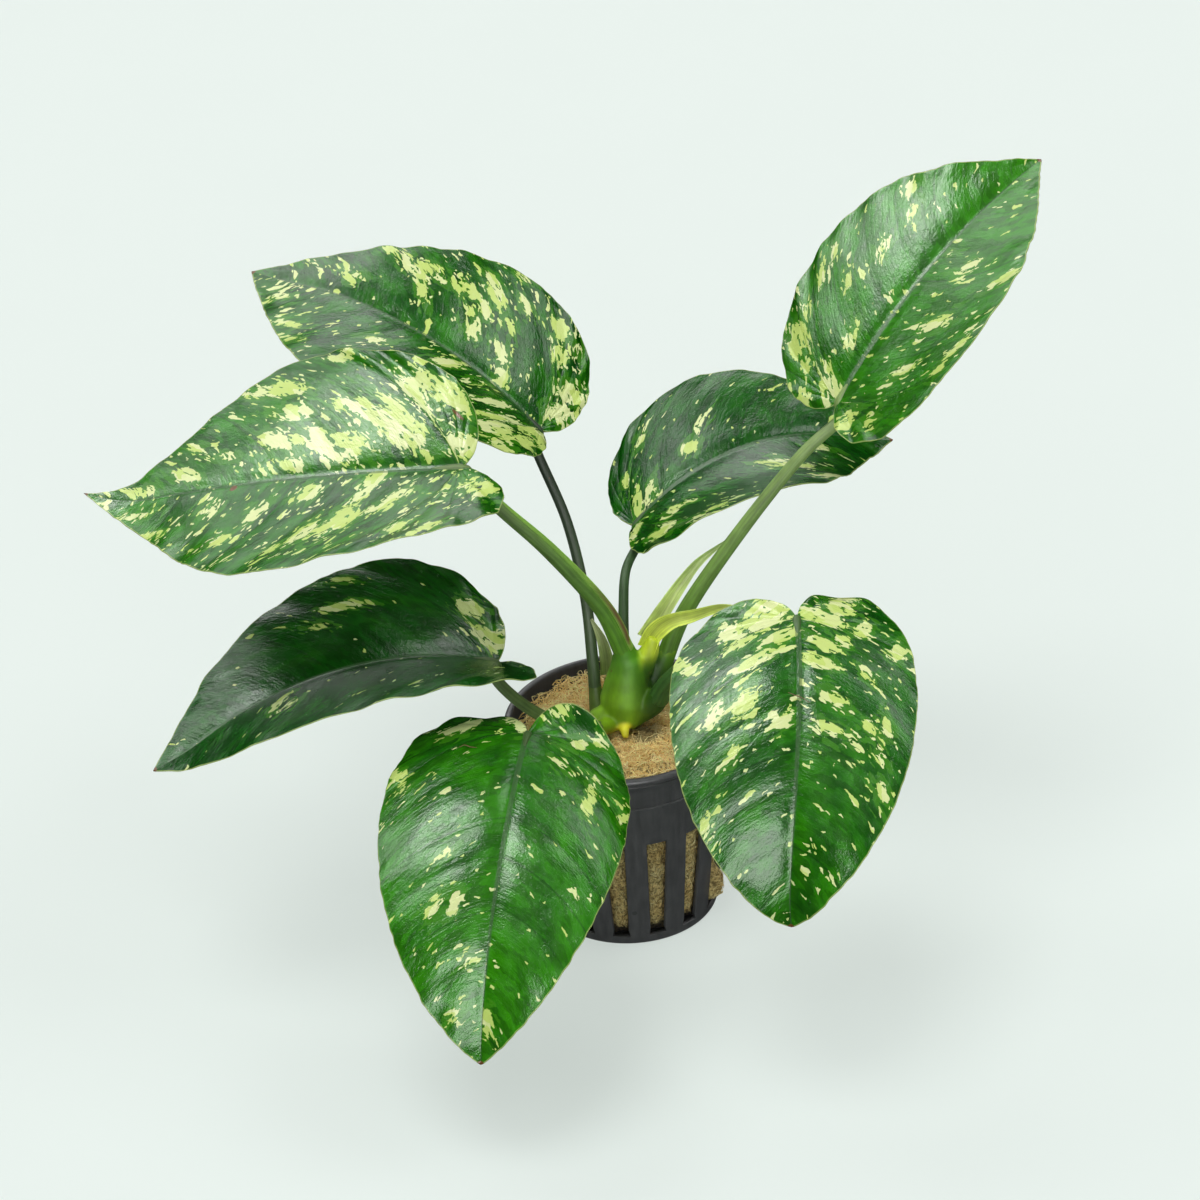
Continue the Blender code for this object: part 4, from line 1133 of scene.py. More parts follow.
# Painted shade for the crown's right side low down.
CROWN_RIGHT_SHADE = (0.012, 0.06, 0.003)
# Painted shade for the crown's left side at the back.
CROWN_BACK_LEFT_SHADE = (0.08, 0.12, 0.03)
STUB_OLIVE = (0.34, 0.34, 0.02)
SHEATH_LIME = (0.52, 0.64, 0.03)
ROOT_YELLOW = (0.72, 0.70, 0.03)


def joined(parts):
    """One set of points and faces from several."""
    points, faces = [], []
    count = 0
    for own_points, own_faces in parts:
        points.append(own_points)
        faces.append(own_faces + count)
        count += len(own_points)
    return np.concatenate(points), np.concatenate(faces)


def plain_tube(route, radii, rings, shares=None):
    """A round tube. Its radii are even along its route, or at the shares of it that are given."""
    curve, where = smooth_curve(route, rings)
    side, up = frames_along(curve, (0.1, -1.0, 0.2))
    if shares is None:
        shares = np.linspace(0, 1, len(radii))
    sizes = np.interp(where / where[-1], shares, radii)
    spokes = np.repeat(sizes[:, None], CROWN_SIDES, 1)
    points = tube_points(curve, side, up, spokes, turns_round(CROWN_SIDES))
    return points, tube_faces(rings, CROWN_SIDES)


def crown_parts():
    """The bulb, its stub and root nub, and the swollen feet that grow from it."""
    shares, radii = zip(*CROWN_PROFILE)
    parts = [plain_tube((CROWN_FOOT, CROWN_TOP), radii, CROWN_RINGS, shares)]
    for route, branch_radii in CROWN_BRANCHES:
        parts.append(plain_tube(route, branch_radii, BRANCH_RINGS))
    return parts


def make_crown(material):
    """The crown as one skin, smoothed where the stalks swell out of it."""
    points, faces = joined(crown_parts())
    rough = bpy.data.meshes.new("crown rough")
    rough.from_pydata((points * MM).tolist(), [], faces.tolist())
    shaper = link_object("crown rough", rough)
    skin = shaper.modifiers.new("one skin", "REMESH")
    skin.mode = "VOXEL"
    skin.voxel_size = CROWN_VOXEL * MM
    smooth = shaper.modifiers.new("soft joins", "SMOOTH")
    smooth.factor = 0.5
    smooth.iterations = 10
    graph = bpy.context.evaluated_depsgraph_get()
    mesh = bpy.data.meshes.new_from_object(shaper.evaluated_get(graph))
    mesh.name = "crown"
    bpy.data.objects.remove(shaper)
    mesh.shade_smooth()
    obj = show_mesh("crown", mesh, (material,), "crown")
    places = np.empty(len(mesh.vertices) * 3, np.float32)
    mesh.vertices.foreach_get("co", places)
    places = places.reshape(-1, 3).astype(float) / MM
    x, y, z = places.T
    patchy = slow_waves(places, 8.0, CROWN_SEED)
    to_root = np.linalg.norm(places - np.array(ROOT_ROUTE[1]), axis=1)
    tint = np.array(CROWN_LIME)
    # Lime below and green higher up, olive at the stub, lime under the curved sheath and yellow at the root
    # nub, with painted shade on the right side low down and on the left side at the back.
    for share, towards in (
            (smoothstep(50, 72, z + 2.5 * patchy), CROWN_GREEN),
            (0.92 * smoothstep(2.5, 7.5, x + patchy) * smoothstep(68, 60, z), CROWN_RIGHT_SHADE),
            (0.8 * smoothstep(54.5, 52.0, z + 0.6 * patchy) * smoothstep(4, 0, x), STUB_OLIVE),
            (smoothstep(64.5, 69.5, z) * smoothstep(4.2, 6.2, x), SHEATH_LIME),
            (smoothstep(2.6, 1.4, to_root), ROOT_YELLOW),
            (0.8 * smoothstep(-2.5, -5, x) * smoothstep(-3.5, -0.5, y), CROWN_BACK_LEFT_SHADE)):
        tint = tinted(tint, share, towards)
    add_skin_values(mesh, places * np.array((0.25, 0.25, 0.1)), tint)
    return obj


SHEATH_POINTS = 19
SHEATH_RINGS = 80


def make_sheath(name, sheath, seed, material):
    """A narrow sheath leaf, folded like a gutter, thin at its edges, with fine ribs along it."""
    curve, where = smooth_curve(sheath["route"], SHEATH_RINGS)
    side, up = frames_along(curve, sheath["facing"])
    share = where / where[-1]
    width = np.interp(share, np.linspace(0, 1, len(sheath["width"])), sheath["width"])[:, None]
    x = np.linspace(-1, 1, SHEATH_POINTS)[None]
    lean = slow_waves(share[:, None] * 40, 14.0, seed)[:, None]
    rise = sheath["fold"] * width * (np.abs(x)**1.7 - 0.35) + 0.05 * np.sin(9 * math.pi * x) * width / 4
    rise = rise + 0.25 * lean * x * width / 4
    half_thick = 0.07 + 0.26 * (1 - np.abs(x)**1.5) * np.clip(width / 3, 0.2, 1)
    middle = curve[:, None] + (x * width / 2 * (1 + 0.04 * lean))[..., None] * side[:, None]
    upper, lower = (middle + (rise + off)[..., None] * up[:, None] for off in (half_thick, -half_thick))
    rings = np.concatenate([upper, lower[:, ::-1]], 1)
    points = np.concatenate([rings.reshape(-1, 3), rings[:1].mean(1), rings[-1:].mean(1)])
    faces = tube_faces(SHEATH_RINGS, 2 * SHEATH_POINTS)
    obj = make_piece(name, points, faces, (material,), name)
    round_x = np.concatenate([x, x[:, ::-1]], 1)
    tint = tinted(np.array(sheath["foot"]), share[:, None], sheath["top"])
    tint = tint * (0.72 + 0.4 * np.abs(round_x)[..., None]**2)
    length = xyz(round_x * 1.5, float(seed), 0.3 * run_along(curve)[:, None])
    add_skin_values(obj.data, length, tint)
    return obj


# The pot.

SLOT_FILLET = 0.22
# The columns of the wall over one slot's share of it: those on each side of the slot, and those inside it.
POT_COLUMNS = 10
OPEN_COLUMNS = 6
# The first and last row of a slot in the base, in the pot's section.
BASE_SLOT_ROWS = (2, 5)
SHARP_ANGLE = 50


def around(radius, degrees, height):
    """Points about the pot's axis. 0 degrees is the front, and they grow to the right."""
    angle = np.radians(degrees)
    return xyz(radius * np.sin(angle), -radius * np.cos(angle), height)


def wall_radius(height):
    return POT_BASE_RADIUS + POT_FLARE * height


def slot_half_width(height):
    """Half a slot's width, which is wider again at its foot."""
    rise = (height - SLOT_BOTTOM) / (SLOT_TOP - SLOT_BOTTOM)
    half = (SLOT_WIDTH_BOTTOM + rise * (SLOT_WIDTH_TOP - SLOT_WIDTH_BOTTOM)) / 2
    return half + SLOT_FOOT_FLARE / 2 * np.clip(1 - (height - SLOT_BOTTOM) / SLOT_FOOT_HEIGHT, 0, 1)


def slot_column_angles(height, radius):
    """The angles of the wall's columns over one slot's share of the wall, from the middle of the slot."""
    heights = np.clip(height, SLOT_BOTTOM, SLOT_TOP)
    edge = np.degrees((slot_half_width(heights) + SLOT_FILLET) / radius)
    beyond = edge + (SLOT_PITCH / 2 - edge) * np.linspace(0, 1, POT_COLUMNS + 1)
    inside = np.linspace(-edge, edge, OPEN_COLUMNS + 1)[1:-1]
    return np.concatenate([-beyond[::-1], inside, beyond[:-1]])


def near(radius, height, *offsets):
    """Points of the pot's section, given by how far out and up they are from one place."""
    return [(radius + out, height + up) for out, up in offsets]


def pot_section():
    """The section of the pot as radius and height, from the middle of its underside out, up its wall, over
    its rim, down inside and in again. Also each opening's first and last row on the outside, and the sum of
    the numbers of any two rows that face each other across it."""
    wall_at_collar = wall_radius(COLLAR_HEIGHT)
    collar = wall_at_collar + COLLAR_STEP
    bead = POT_HEIGHT - RIM_BEAD
    foot_top = SLOT_BOTTOM + SLOT_FOOT_HEIGHT
    base_slot = (BASE_SLOT_INNER - SLOT_FILLET, *BASE_SLOT_BETWEEN, BASE_SLOT_OUTER + SLOT_FILLET)
    low = [(radius, 0.0) for radius in (1.0, 5.0, *base_slot)]
    low += near(POT_BASE_RADIUS, 0.0, (-1.0, 0.0), (-0.6, 0.06), (-0.25, 0.25), (-0.02, 0.6))
    low += [(wall_radius(height), height) for height in (1.0, 1.7)]
    slotted = [*np.linspace(SLOT_BOTTOM - SLOT_FILLET, foot_top, 5),
               *np.linspace(foot_top, SLOT_TOP + SLOT_FILLET, 16)[1:]]
    plain = np.linspace(SLOT_TOP + 1.5, COLLAR_HEIGHT - 0.35, 6)
    wall = [(wall_radius(height), height) for height in slotted]
    high = [(wall_radius(height), height) for height in plain]
    high += near(wall_at_collar, COLLAR_HEIGHT, (-0.03, -0.12), (0.22, -0.02))
    high += near(collar, COLLAR_HEIGHT, (-0.02, 0.12), (0.32, 0.3), (0.3, 0.52), (-0.02, 0.72), (0.05, 1.2),
                 (0.12, 2.8), (0.2, 4.8))
    high += near(collar, bead, (0.24, -0.75), (0.42, -0.6), (0.5, -0.4), (0.36, -0.22), (0.22, -0.1),
                 (0.3, 0))
    high += near(RIM_RADIUS, bead, (-0.55, 0.08), (-0.18, 0.24), (0, 0.6))
    high += near(RIM_RADIUS, POT_HEIGHT, (0, -0.75), (-0.12, -0.35), (-0.4, -0.1), (-0.8, 0), (-1.2, -0.02),
                 (-1.5, -0.12), (-1.72, -0.35), (-1.82, -0.75))
    high += near(collar - POT_WALL, COLLAR_HEIGHT, (0.1, 3.3), (0, 0.7))
    high += near(wall_at_collar - POT_WALL, COLLAR_HEIGHT, (0, 0))
    inner = [(radius - POT_WALL, height) for radius, height in reversed(wall)]
    floor = near(wall_radius(POT_FLOOR) - POT_WALL, POT_FLOOR, (-0.05, 0.3), (-0.35, 0))
    first_wall, first_inner = len(low), len(low) + len(wall) + len(high)
    first_floor = first_inner + len(inner) + len(floor)
    floor += [(radius, POT_FLOOR) for radius in (*reversed(base_slot), 5.0, 1.0)]
    last_wall = first_wall + len(wall) - 1
    openings = ((first_wall, last_wall, first_inner + last_wall),
                (*BASE_SLOT_ROWS, first_floor + BASE_SLOT_ROWS[1]))
    return low + wall + high + inner + floor, openings


def rounded_edge(points, outer_loop, inner_loop, towards, first):
    """The rounded edge of one opening: loops between its outer and inner edges, drawn in a little towards
    its middle, whose points are numbered from first."""
    outer, inner = points[outer_loop], points[inner_loop]
    loops, placed = [outer_loop], []
    for share, drawn in ((0.16, 0.7), (0.35, 1.0), (0.65, 1.0), (0.84, 0.7)):
        loops.append(first + len(outer) * len(placed) + np.arange(len(outer)))
        placed.append(outer + share * (inner - outer) + drawn * SLOT_FILLET * towards)
    loops.append(inner_loop)
    faces = []
    for one, other in zip(loops, loops[1:]):
        for i in range(len(one)):
            j = (i + 1) % len(one)
            faces.append((one[i], other[i], other[j], one[j]))
    return np.concatenate(placed), faces


def make_pot(material):
    """The net pot, turned in rings, with slots whose edges are rounded."""
    section, openings = pot_section()
    columns = 2 * POT_COLUMNS + OPEN_COLUMNS
    total = SLOTS * columns
    rings = []
    for radius, height in section:
        on_wall = radius > POT_BASE_RADIUS - 1.5
        offsets = slot_column_angles(height if on_wall else SLOT_BOTTOM, max(radius, BASE_SLOT_INNER))
        angles = np.concatenate([FIRST_SLOT_AT + k * SLOT_PITCH + offsets for k in range(SLOTS)])
        rings.append(around(radius, angles, height))
    points = np.concatenate(rings)
    numbers = np.arange(len(section) * total).reshape(len(section), total)
    open_rows = set()
    for top_row, bottom_row, facing in openings:
        open_rows.update(range(top_row, bottom_row), range(facing - bottom_row, facing - top_row))
    left, right = POT_COLUMNS, POT_COLUMNS + OPEN_COLUMNS
    faces = []
    for row in range(len(section) - 1):
        for column in range(total):
            if row in open_rows and left <= column % columns < right:
                continue
            after = (column + 1) % total
            faces.append((numbers[row, column], numbers[row, after],
                          numbers[row + 1, after], numbers[row + 1, column]))

    edges, edge_faces = [], []
    first = len(points)
    for slot in range(SLOTS):
        offset = slot * columns
        angle = math.radians(FIRST_SLOT_AT + slot * SLOT_PITCH)
        sideways = np.array([math.cos(angle), math.sin(angle), 0.0])
        for top_row, bottom_row, facing in openings:
            border = [(top_row, offset + c) for c in range(left, right + 1)]
            border += [(row, offset + right) for row in range(top_row + 1, bottom_row + 1)]
            border += [(bottom_row, offset + c) for c in range(right - 1, left - 1, -1)]
            border += [(row, offset + left) for row in range(bottom_row - 1, top_row, -1)]
            outer_loop = [numbers[row, c] for row, c in border]
            inner_loop = [numbers[facing - row, c] for row, c in border]
            ring = points[outer_loop]
            lengthwise = ring[len(ring) // 2] - ring[0]
            lengthwise -= sideways * (lengthwise @ sideways)
            lengthwise /= np.linalg.norm(lengthwise)
            from_centre = ring - ring.mean(0)
            towards = np.zeros_like(ring)
            for i, (row, c) in enumerate(border):
                if c - offset in (left, right):
                    towards[i] -= sideways * np.sign(from_centre[i] @ sideways)
                if row in (top_row, bottom_row):
                    towards[i] -= lengthwise * np.sign(from_centre[i] @ lengthwise)
            placed, own_faces = rounded_edge(points, outer_loop, inner_loop, towards, first)
            edges.append(placed)
            edge_faces += own_faces
            first += len(placed)

    mesh = bpy.data.meshes.new("net_pot")
    caps = [tuple(numbers[0][::-1]), tuple(numbers[-1])]
    given = [tuple(int(i) for i in face) for face in faces + edge_faces + caps]
    mesh.from_pydata((np.concatenate([points, *edges]) * MM).tolist(), [], given)
    shaper = bmesh.new()
    shaper.from_mesh(mesh)
    bmesh.ops.recalc_face_normals(shaper, faces=shaper.faces)
    bmesh.ops.triangulate(shaper, faces=[face for face in shaper.faces if len(face.verts) > 4])
    shaper.to_mesh(mesh)
    shaper.free()
    mesh.shade_smooth()
    mesh.set_sharp_from_angle(angle=math.radians(SHARP_ANGLE))
    return show_mesh("net_pot", mesh, (material,), "net_pot")


# The mineral wool.

WOOL_SIDES = 300
WOOL_EDGE_SHARE = 0.9
WOOL_EDGE_SLOPE = 15.0
WOOL_SEED = 50
WOOL_SWELL = 0.95
WOOL_TOP_LIFT = 1.5
BULGE_REACH = 3.4


def wool_lump(x, y):
    """A slow unevenness of the wool, between about -1 and 1."""
    broad = np.sin(0.31 * x + 0.9) * np.cos(0.27 * y - 0.4)
    return 0.6 * broad + 0.4 * np.sin(0.53 * x - 0.47 * y + 2.0)


def wool_gap(degrees, height):
    """How far the wool stands off the wall: close in front, loose behind on the left near the top."""
    behind = np.clip(np.cos(np.radians(degrees - WOOL_LOOSE_AT)), 0, None)
    above = np.clip((height - WOOL_LOOSE_FROM) / (POT_HEIGHT - WOOL_LOOSE_FROM), 0, None)
    return WOOL_GAP + WOOL_LOOSE * behind * above


def wool_side(degrees, height):
    """The wool's radius: it swells a little into each slot, more in one of them, and falls back at their
    feet."""
    inner = wall_radius(np.minimum(height, COLLAR_HEIGHT)) - POT_WALL
    off = (degrees - FIRST_SLOT_AT + SLOT_PITCH / 2) % SLOT_PITCH - SLOT_PITCH / 2
    across = np.radians(off) * inner
    window = np.clip(slot_half_width(np.clip(height, SLOT_BOTTOM, SLOT_TOP)) - 0.25, 0.3, None)
    facing = np.exp(-(across / window)**4) * smoothstep(3.4, 5.2, height) * smoothstep(30.2, 28.2, height)
    swell = WOOL_SWELL * facing * (0.75 + 0.25 * np.sin(0.9 * height + degrees))
    foot = -1.0 * np.exp(-(across / 2.2)**2) * smoothstep(5.0, 3.6, height)
    bulge_at = FIRST_SLOT_AT + BULGE_SLOT * SLOT_PITCH
    from_bulge = np.radians((degrees - bulge_at + 180) % 360 - 180) * inner
    bulge = BULGE_REACH * np.exp(-(from_bulge / 1.75)**4 - ((height - BULGE_HEIGHT) / 4.3)**4)
    return inner - wool_gap(degrees, height) + swell + foot + bulge


def wool_top(share, degrees):
    """Places on the wool's upper side at a share of its radius."""
    radius = share * (wall_radius(COLLAR_HEIGHT) - POT_WALL - wool_gap(degrees, WOOL_TOP))
    x, y = radius * np.sin(np.radians(degrees)), -radius * np.cos(np.radians(degrees))
    uneven = (0.24 + 0.3 * smoothstep(0.4, 0.6, share)) * wool_lump(x, y)
    return x, y, WOOL_TOP - WOOL_EDGE_SLOPE * np.clip(share - WOOL_EDGE_SHARE, 0, None) + uneven


def fluff(points):
    """The lint of the wool, in waves of three sizes."""
    return (0.42 * slow_waves(points, 4.0, WOOL_SEED, 9) + 0.26 * slow_waves(points, 1.7, WOOL_SEED + 1, 12)
            + 0.12 * slow_waves(points, 0.8, WOOL_SEED + 2, 12))


def make_wool(material):
    degrees = np.linspace(0, 360, WOOL_SIDES, endpoint=False)
    foot = POT_FLOOR + 0.4
    rows = []
    for height in np.concatenate([np.linspace(foot, 32, 70), np.linspace(32.5, 47.0, 20)]):
        points = around(wool_side(degrees, height), degrees, height)
        rows.append(points + (0.8 * fluff(points) - 0.15)[:, None] * around(1.0, degrees, 0.0))
    for share in np.concatenate([np.linspace(0.995, 0.9, 6), np.linspace(0.88, 0.04, 46)]):
        points = xyz(*wool_top(share, degrees))
        lift = (WOOL_TOP_LIFT * fluff(points) - 0.1) * smoothstep(0.02, 0.25, share)
        rows.append(points + xyz(0.0, 0.0, lift))
    points = np.concatenate([*rows, [[0.0, 0.0, foot]], [wool_top(0.0, 0.0)]])
    faces = tube_faces(len(rows), WOOL_SIDES)
    return make_piece("growing_medium", points, faces, (material,), "growing_medium")


FIBRE_POINTS = 6
TOP_FIBRES = 3600
SLOT_FIBRES = 110
FIBRE_SIDES = 3
FIBRE_SEED = 77
FIBRE_RADII = (0.06, 0.15)
DRIED_FIBRE_RADIUS = 0.13
DRIED_FIBRE_POINTS = 24


def fibre_mesh(lines, radii):
    """Thin tubes along many short lines at once. Lines are (fibre, point, xyz)."""
    along = unit(np.gradient(lines, axis=1))
    side = unit(np.cross(along, (0.13, 0.21, 1.0)))
    up = np.cross(side, along)
    turns = turns_round(FIBRE_SIDES)[:, None]
    count, per_line = lines.shape[:2]
    taper = np.sin(np.linspace(0.12, math.pi - 0.12, per_line))[None, :, None, None]**0.5
    rings = lines[:, :, None] + radii[:, None, None, None] * taper * (
        np.cos(turns) * side[:, :, None] + np.sin(turns) * up[:, :, None])
    numbers = np.arange(count * per_line * FIBRE_SIDES).reshape(count, per_line, FIBRE_SIDES)
    numbers = np.concatenate([numbers, numbers[..., :1]], 2)
    body = band_faces(numbers[:, :-1], numbers[:, 1:], False)
    ends = np.concatenate([numbers[:, 0, :3][:, ::-1], numbers[:, -1, :3]])
    return rings.reshape(-1, 3), np.concatenate([body, ends])


def curled_steps(draw, count, curl, shortest, longest):
    """How far random curled lines have gone in two directions at each of their points."""
    t = np.linspace(0, 1, FIBRE_POINTS)[None]
    turn = draw.uniform(0, 2 * math.pi, count)[:, None] + draw.normal(0, curl, count)[:, None] * t
    step = (draw.uniform(shortest, longest, count) / (FIBRE_POINTS - 1))[:, None]
    return np.cumsum(np.cos(turn) * step, 1), np.cumsum(np.sin(turn) * step, 1)


def top_fibre_lines(draw):
    """Fibres that lie about on the wool's top inside the pot's wall, with their middles a little raised."""
    share = np.sqrt(draw.uniform(0.01, 0.97, TOP_FIBRES))
    x, y, _ = wool_top(share, draw.uniform(0, 360, TOP_FIBRES))
    steps_x, steps_y = curled_steps(draw, TOP_FIBRES, 1.7, 1.8, 6.0)
    x, y = x[:, None] + steps_x, y[:, None] + steps_y
    arch = np.sin(math.pi * np.linspace(0, 1, FIBRE_POINTS)[None])
    proud = draw.uniform(0.1, 0.8, TOP_FIBRES)[:, None] + draw.exponential(0.4, TOP_FIBRES)[:, None] * arch
    limit = wall_radius(COLLAR_HEIGHT) - POT_WALL - 0.4
    keep = np.minimum(1.0, limit / np.maximum(np.hypot(x, y), 1e-6))
    x, y = x * keep, y * keep
    base = WOOL_TOP - WOOL_EDGE_SLOPE * np.clip(np.hypot(x, y) / limit - WOOL_EDGE_SHARE, 0, None)
    base = base + 0.4 * wool_lump(x, y)
    return xyz(x, y, base + WOOL_TOP_LIFT * fluff(xyz(x, y, base)) + proud)


def slot_fibre_lines(draw):
    """Fibres that lie on the wool in the pot's slots."""
    count = SLOTS * SLOT_FIBRES
    slot = np.repeat(np.arange(SLOTS), SLOT_FIBRES)[:, None]
    height = draw.uniform(4.6, 29.0, count)
    reach = slot_half_width(height) - 0.35
    offset = (draw.uniform(-1, 1, count) * reach)[:, None]
    steps_across, steps_up = curled_steps(draw, count, 1.0, 0.8, 2.6)
    across = np.clip(offset + steps_across, -reach[:, None], reach[:, None])
    height = np.clip(height[:, None] + steps_up, 4.2, 29.6)
    degrees = FIRST_SLOT_AT + slot * SLOT_PITCH + np.degrees(across / wall_radius(height))
    radius = wool_side(degrees, height) + draw.uniform(-0.1, 0.25, count)[:, None]
    return around(radius, degrees, height)


def make_fibres(material):
    """Loose curled fibres over the wool's top and in its slots."""
    draw = np.random.default_rng(FIBRE_SEED)
    lines = np.concatenate([top_fibre_lines(draw), slot_fibre_lines(draw)])
    points, faces = fibre_mesh(lines, draw.uniform(*FIBRE_RADII, len(lines)))
    return make_piece("wool_fibres", points, faces, (material,), "growing_medium")


# Dried fibres that lie on two of the leaves: the leaf, then places on it as half and percent round and out.
LEAF_FIBRES = (
    ("front_left", ((1, 45.8, 42), (1, 46.0, 38), (1, 46.8, 34), (1, 47.8, 29))),
    ("front_right", ((1, 59.8, 8), (1, 60.8, 3), (0, 61.2, 2), (0, 61.8, 8))),
)


def leaf_place(name, half, round_share, out_share, above):
    """A place just above a leaf's upper side."""
    blade = BLADES[name]
    rim = blade_outline(blade, half, 401)
    flat = along_vein(blade, round_share / 100, rim[int(round(4 * round_share))], out_share / 100)
    near_by = np.array([flat, flat + (0.2, 0.0), flat + (0.0, 0.2)])
    a, b, c = blade_surface(blade, near_by, half)
    return a + above * (1 - 2 * half) * unit(np.cross(b - a, c - a))


def make_leaf_fibres(material):
    for name, places in LEAF_FIBRES:
        route = [leaf_place(name, *place, 0.75 + 0.25 * (i % 2)) for i, place in enumerate(places)]
        curve, _ = smooth_curve(route, DRIED_FIBRE_POINTS)
        points, faces = fibre_mesh(curve[None], np.array([DRIED_FIBRE_RADIUS]))
        make_piece("dried_fibre_" + name, points, faces, (material,), "blade_" + name)


# The set.

FLOOR_REACH = 6.0
# The lightest and darkest of the floor, in the light and in its own glow.
FLOOR_LIT = ((0.79, 0.86, 0.82), (0.80, 0.87, 0.83))
FLOOR_OWN = ((0.825, 0.898, 0.857), (0.837, 0.912, 0.869))
# How much of the floor's brightness is its own, as on a light table, so that shadows stay faint on it.
FLOOR_GLOW = 0.6
BACKDROP = colour(0.831, 0.905, 0.863)
FLOOR_LIGHT = 1.04
DOME_LOW = 0.06
DOME_HIGH = 0.12
DOME_IN_GLOSS = 0.05
# Each panel: where it stands as azimuth and elevation, how wide it looks, its share of the floor's light,
# and whether it lights surfaces or is only mirrored in their gloss.
PANELS = {
    "overhead light": dict(azimuth=-42, elevation=77, wide=26, share=0.34, mirrored=False),
    "rear light": dict(azimuth=-150, elevation=55, wide=30, share=0.18, mirrored=False),
    "right light": dict(azimuth=90, elevation=55, wide=30, share=0.15, mirrored=False),
    "front fill": dict(azimuth=-5, elevation=48, wide=60, share=0.24, mirrored=False),
    "left panel": dict(azimuth=-93, elevation=58, wide=26, share=0.4, mirrored=True),
    "upper panel": dict(azimuth=-106, elevation=72, wide=22, share=0.62, mirrored=True),
    "low left panel": dict(azimuth=-108, elevation=34, wide=22, share=0.13, mirrored=True),
    "rear left panel": dict(azimuth=-150, elevation=38, wide=26, share=0.12, mirrored=True),
    "rear panel": dict(azimuth=-180, elevation=32, wide=28, share=0.11, mirrored=True),
    "right panel": dict(azimuth=120, elevation=54, wide=24, share=0.22, mirrored=True),
    "front panel": dict(azimuth=3, elevation=14, wide=46, share=0.4, mirrored=True),
}


def make_floor():
    mesh = bpy.data.meshes.new("floor")
    corners = ((-1, -1), (1, -1), (1, 1), (-1, 1))
    mesh.from_pydata([(x * FLOOR_REACH, y * FLOOR_REACH, 0) for x, y in corners], [], [(0, 1, 2, 3)])
    floor = link_object("floor", mesh)
    material, tree, shader = new_material("pale floor", 0.9, 0.0)
    grain = noise(tree, place_in_mm(tree), 0.02, 2.0)
    for socket, share, tones in (("Base Color", 1 - FLOOR_GLOW, FLOOR_LIT),
                                 ("Emission Color", FLOOR_GLOW, FLOOR_OWN)):
        low, high = (colour(*(channel * share for channel in tone)) for tone in tones)
        feed(tree, shader[socket], mixed(tree, grain, low, high))
    shader["Emission Strength"].default_value = 1.0
    mesh.materials.append(material)
    floor.visible_glossy = False


def make_world():
    """Soft studio surroundings: an even dome that lights surfaces but is dim in their gloss. The camera
    sees plain backdrop."""
    world = bpy.data.worlds.new("studio")
    bpy.context.scene.world = world
    world.use_nodes = True
    tree = world.node_tree
    tree.nodes.clear()
    rays = add_node(tree, "LightPath").outputs
    height = parts_of(tree, add_node(tree, "TexCoord").outputs["Generated"])["Z"]
    soft = mask_between(tree, height, 0.0, 0.7, DOME_LOW, DOME_HIGH)
    mirrored = times(tree, rays["Is Glossy Ray"], 1 - DOME_IN_GLOSS)
    dome = add_node(tree, "Background")
    strength = times(tree, soft, maths(tree, "SUBTRACT", 1.0, mirrored))
    feed(tree, dome.inputs["Strength"], strength)
    backdrop = add_node(tree, "Background")
    backdrop.inputs["Color"].default_value = BACKDROP
    blend = add_node(tree, "MixShader")
    tree.links.new(rays["Is Camera Ray"], blend.inputs[0])
    tree.links.new(dome.outputs[0], blend.inputs[1])
    tree.links.new(backdrop.outputs[0], blend.inputs[2])
    output = add_node(tree, "OutputWorld")
    tree.links.new(blend.outputs[0], output.inputs["Surface"])


def make_lights():
    for name, box in PANELS.items():
        turn, rise = math.radians(box["azimuth"]), math.radians(box["elevation"])
        light = bpy.data.lights.new(name, "SUN")
        light.energy = math.pi * FLOOR_LIGHT * box["share"] / math.sin(rise)
        light.angle = math.radians(box["wide"])
        lamp = link_object(name, light)
        level = math.cos(rise)
        towards = Vector((math.sin(turn) * level, -math.cos(turn) * level, math.sin(rise)))
        lamp.visible_glossy = box["mirrored"]
        lamp.visible_diffuse = not box["mirrored"]
        lamp.rotation_mode = "QUATERNION"
        lamp.rotation_quaternion = towards.to_track_quat("Z", "Y")


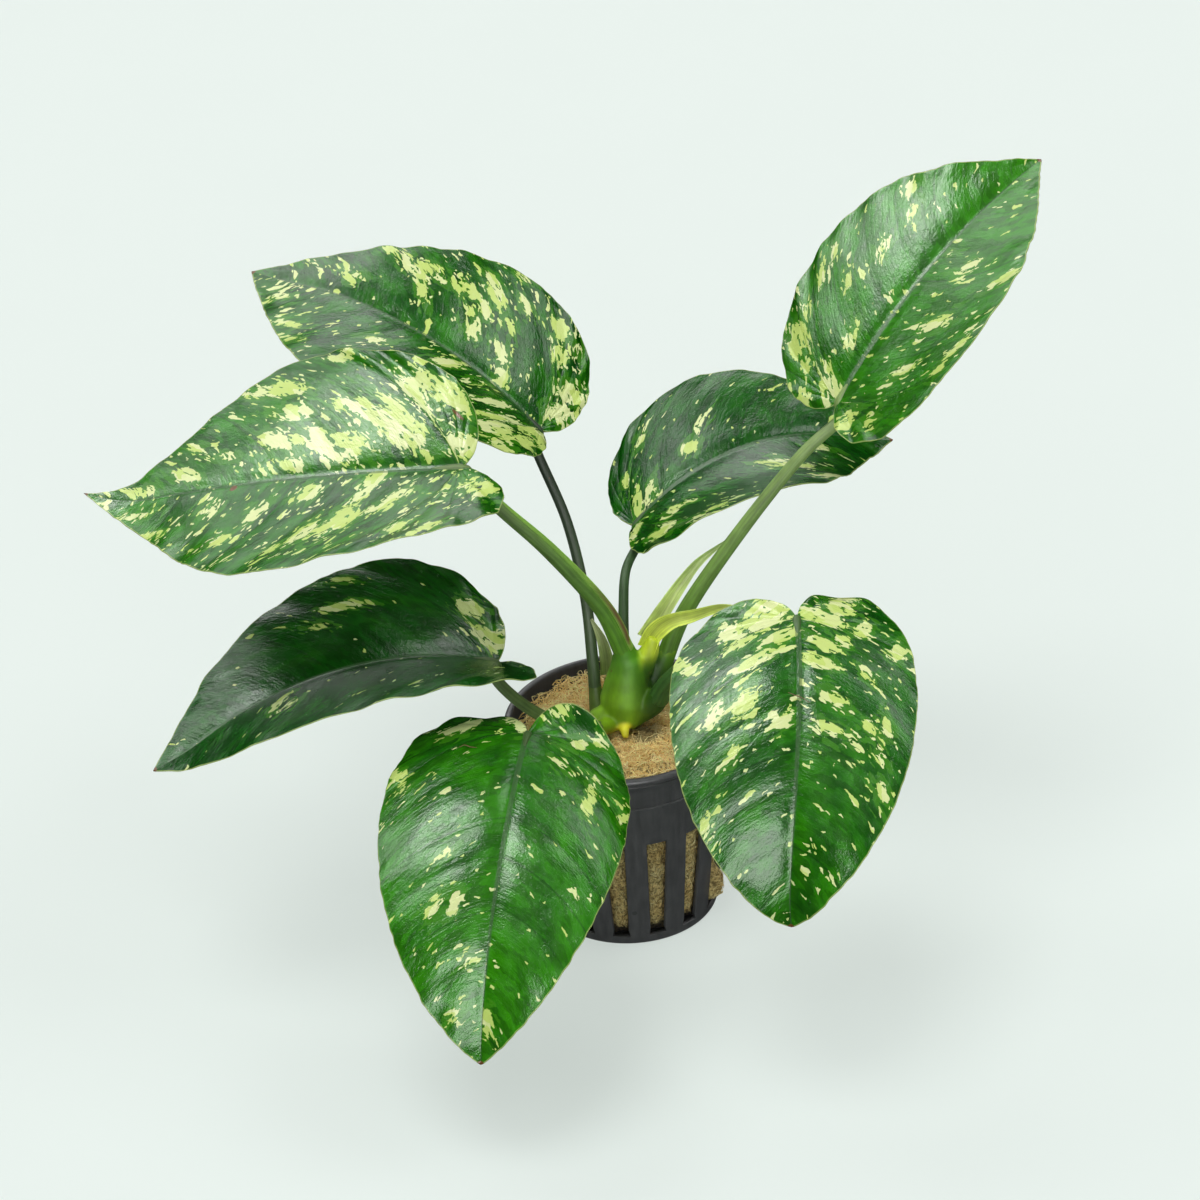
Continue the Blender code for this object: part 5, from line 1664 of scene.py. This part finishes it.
def make_camera():
    down, tilt = math.radians(LOOK_DOWN), math.radians(CAMERA_TILT)
    ahead = Vector((0, math.cos(down), -math.sin(down)))
    level, above = Vector((1, 0, 0)), Vector((0, math.sin(down), math.cos(down)))
    right = math.cos(tilt) * level - math.sin(tilt) * above
    up = math.sin(tilt) * level + math.cos(tilt) * above
    across = (ORIGIN_IN_PICTURE[0] - PICTURE_WIDTH / 2) / PICTURE_FOCAL
    rise = (PICTURE_WIDTH / 2 - ORIGIN_IN_PICTURE[1]) / PICTURE_FOCAL
    data = bpy.data.cameras.new("camera")
    data.sensor_fit = "HORIZONTAL"
    data.sensor_width = SENSOR_WIDTH
    data.lens = SENSOR_WIDTH * PICTURE_FOCAL / PICTURE_WIDTH
    data.clip_start = 0.01
    data.clip_end = 50.0
    camera = link_object("camera", data)
    place = -(ahead + across * right + rise * up) * VIEW_DISTANCE
    turned = Matrix((right, up, -ahead)).transposed().to_4x4()
    camera.matrix_world = Matrix.Translation(place) @ turned
    bpy.context.scene.camera = camera


def main():
    groups = {"marbling": make_marbling_group(), "grain": make_grain_group(),
              "streaks": make_streaks_group(), "flecks": make_flecks_group()}
    face, back = make_leaf_face(groups), make_leaf_back(groups)
    stalk = make_skin("stalk skin", groups, 0.5, 0.0, 3.0, 0.06)
    crown = make_skin("crown skin", groups, 0.52, 0.0, 1.2, 0.05)
    pale = make_skin("sheath skin", groups, 0.42, 0.15, 3.5, 0.07)
    wool = make_wool_finish("mineral wool", WOOL_TAN, WOOL_LIGHT, 0.36, 0.6)
    loose = make_wool_finish("loose wool fibre", FIBRE_TAN, FIBRE_LIGHT, 0.95, 0.02)
    make_pot(make_pot_plastic(groups))
    make_wool(wool)
    make_fibres(loose)
    make_crown(crown)
    for index, (name, blade) in enumerate(BLADES.items()):
        make_leaf(index, name, blade, face, back)
        make_stalk(name, STALKS[name], blade, stalk)
    for index, (name, sheath) in enumerate(SHEATHS.items()):
        make_sheath(name, sheath, 300 + 10 * index, pale)
    make_stalk_strip(stalk)
    make_leaf_fibres(make_dried_fibre())
    make_floor()
    make_world()
    make_lights()
    make_camera()
    bpy.context.scene.view_settings.view_transform = "Standard"


main()
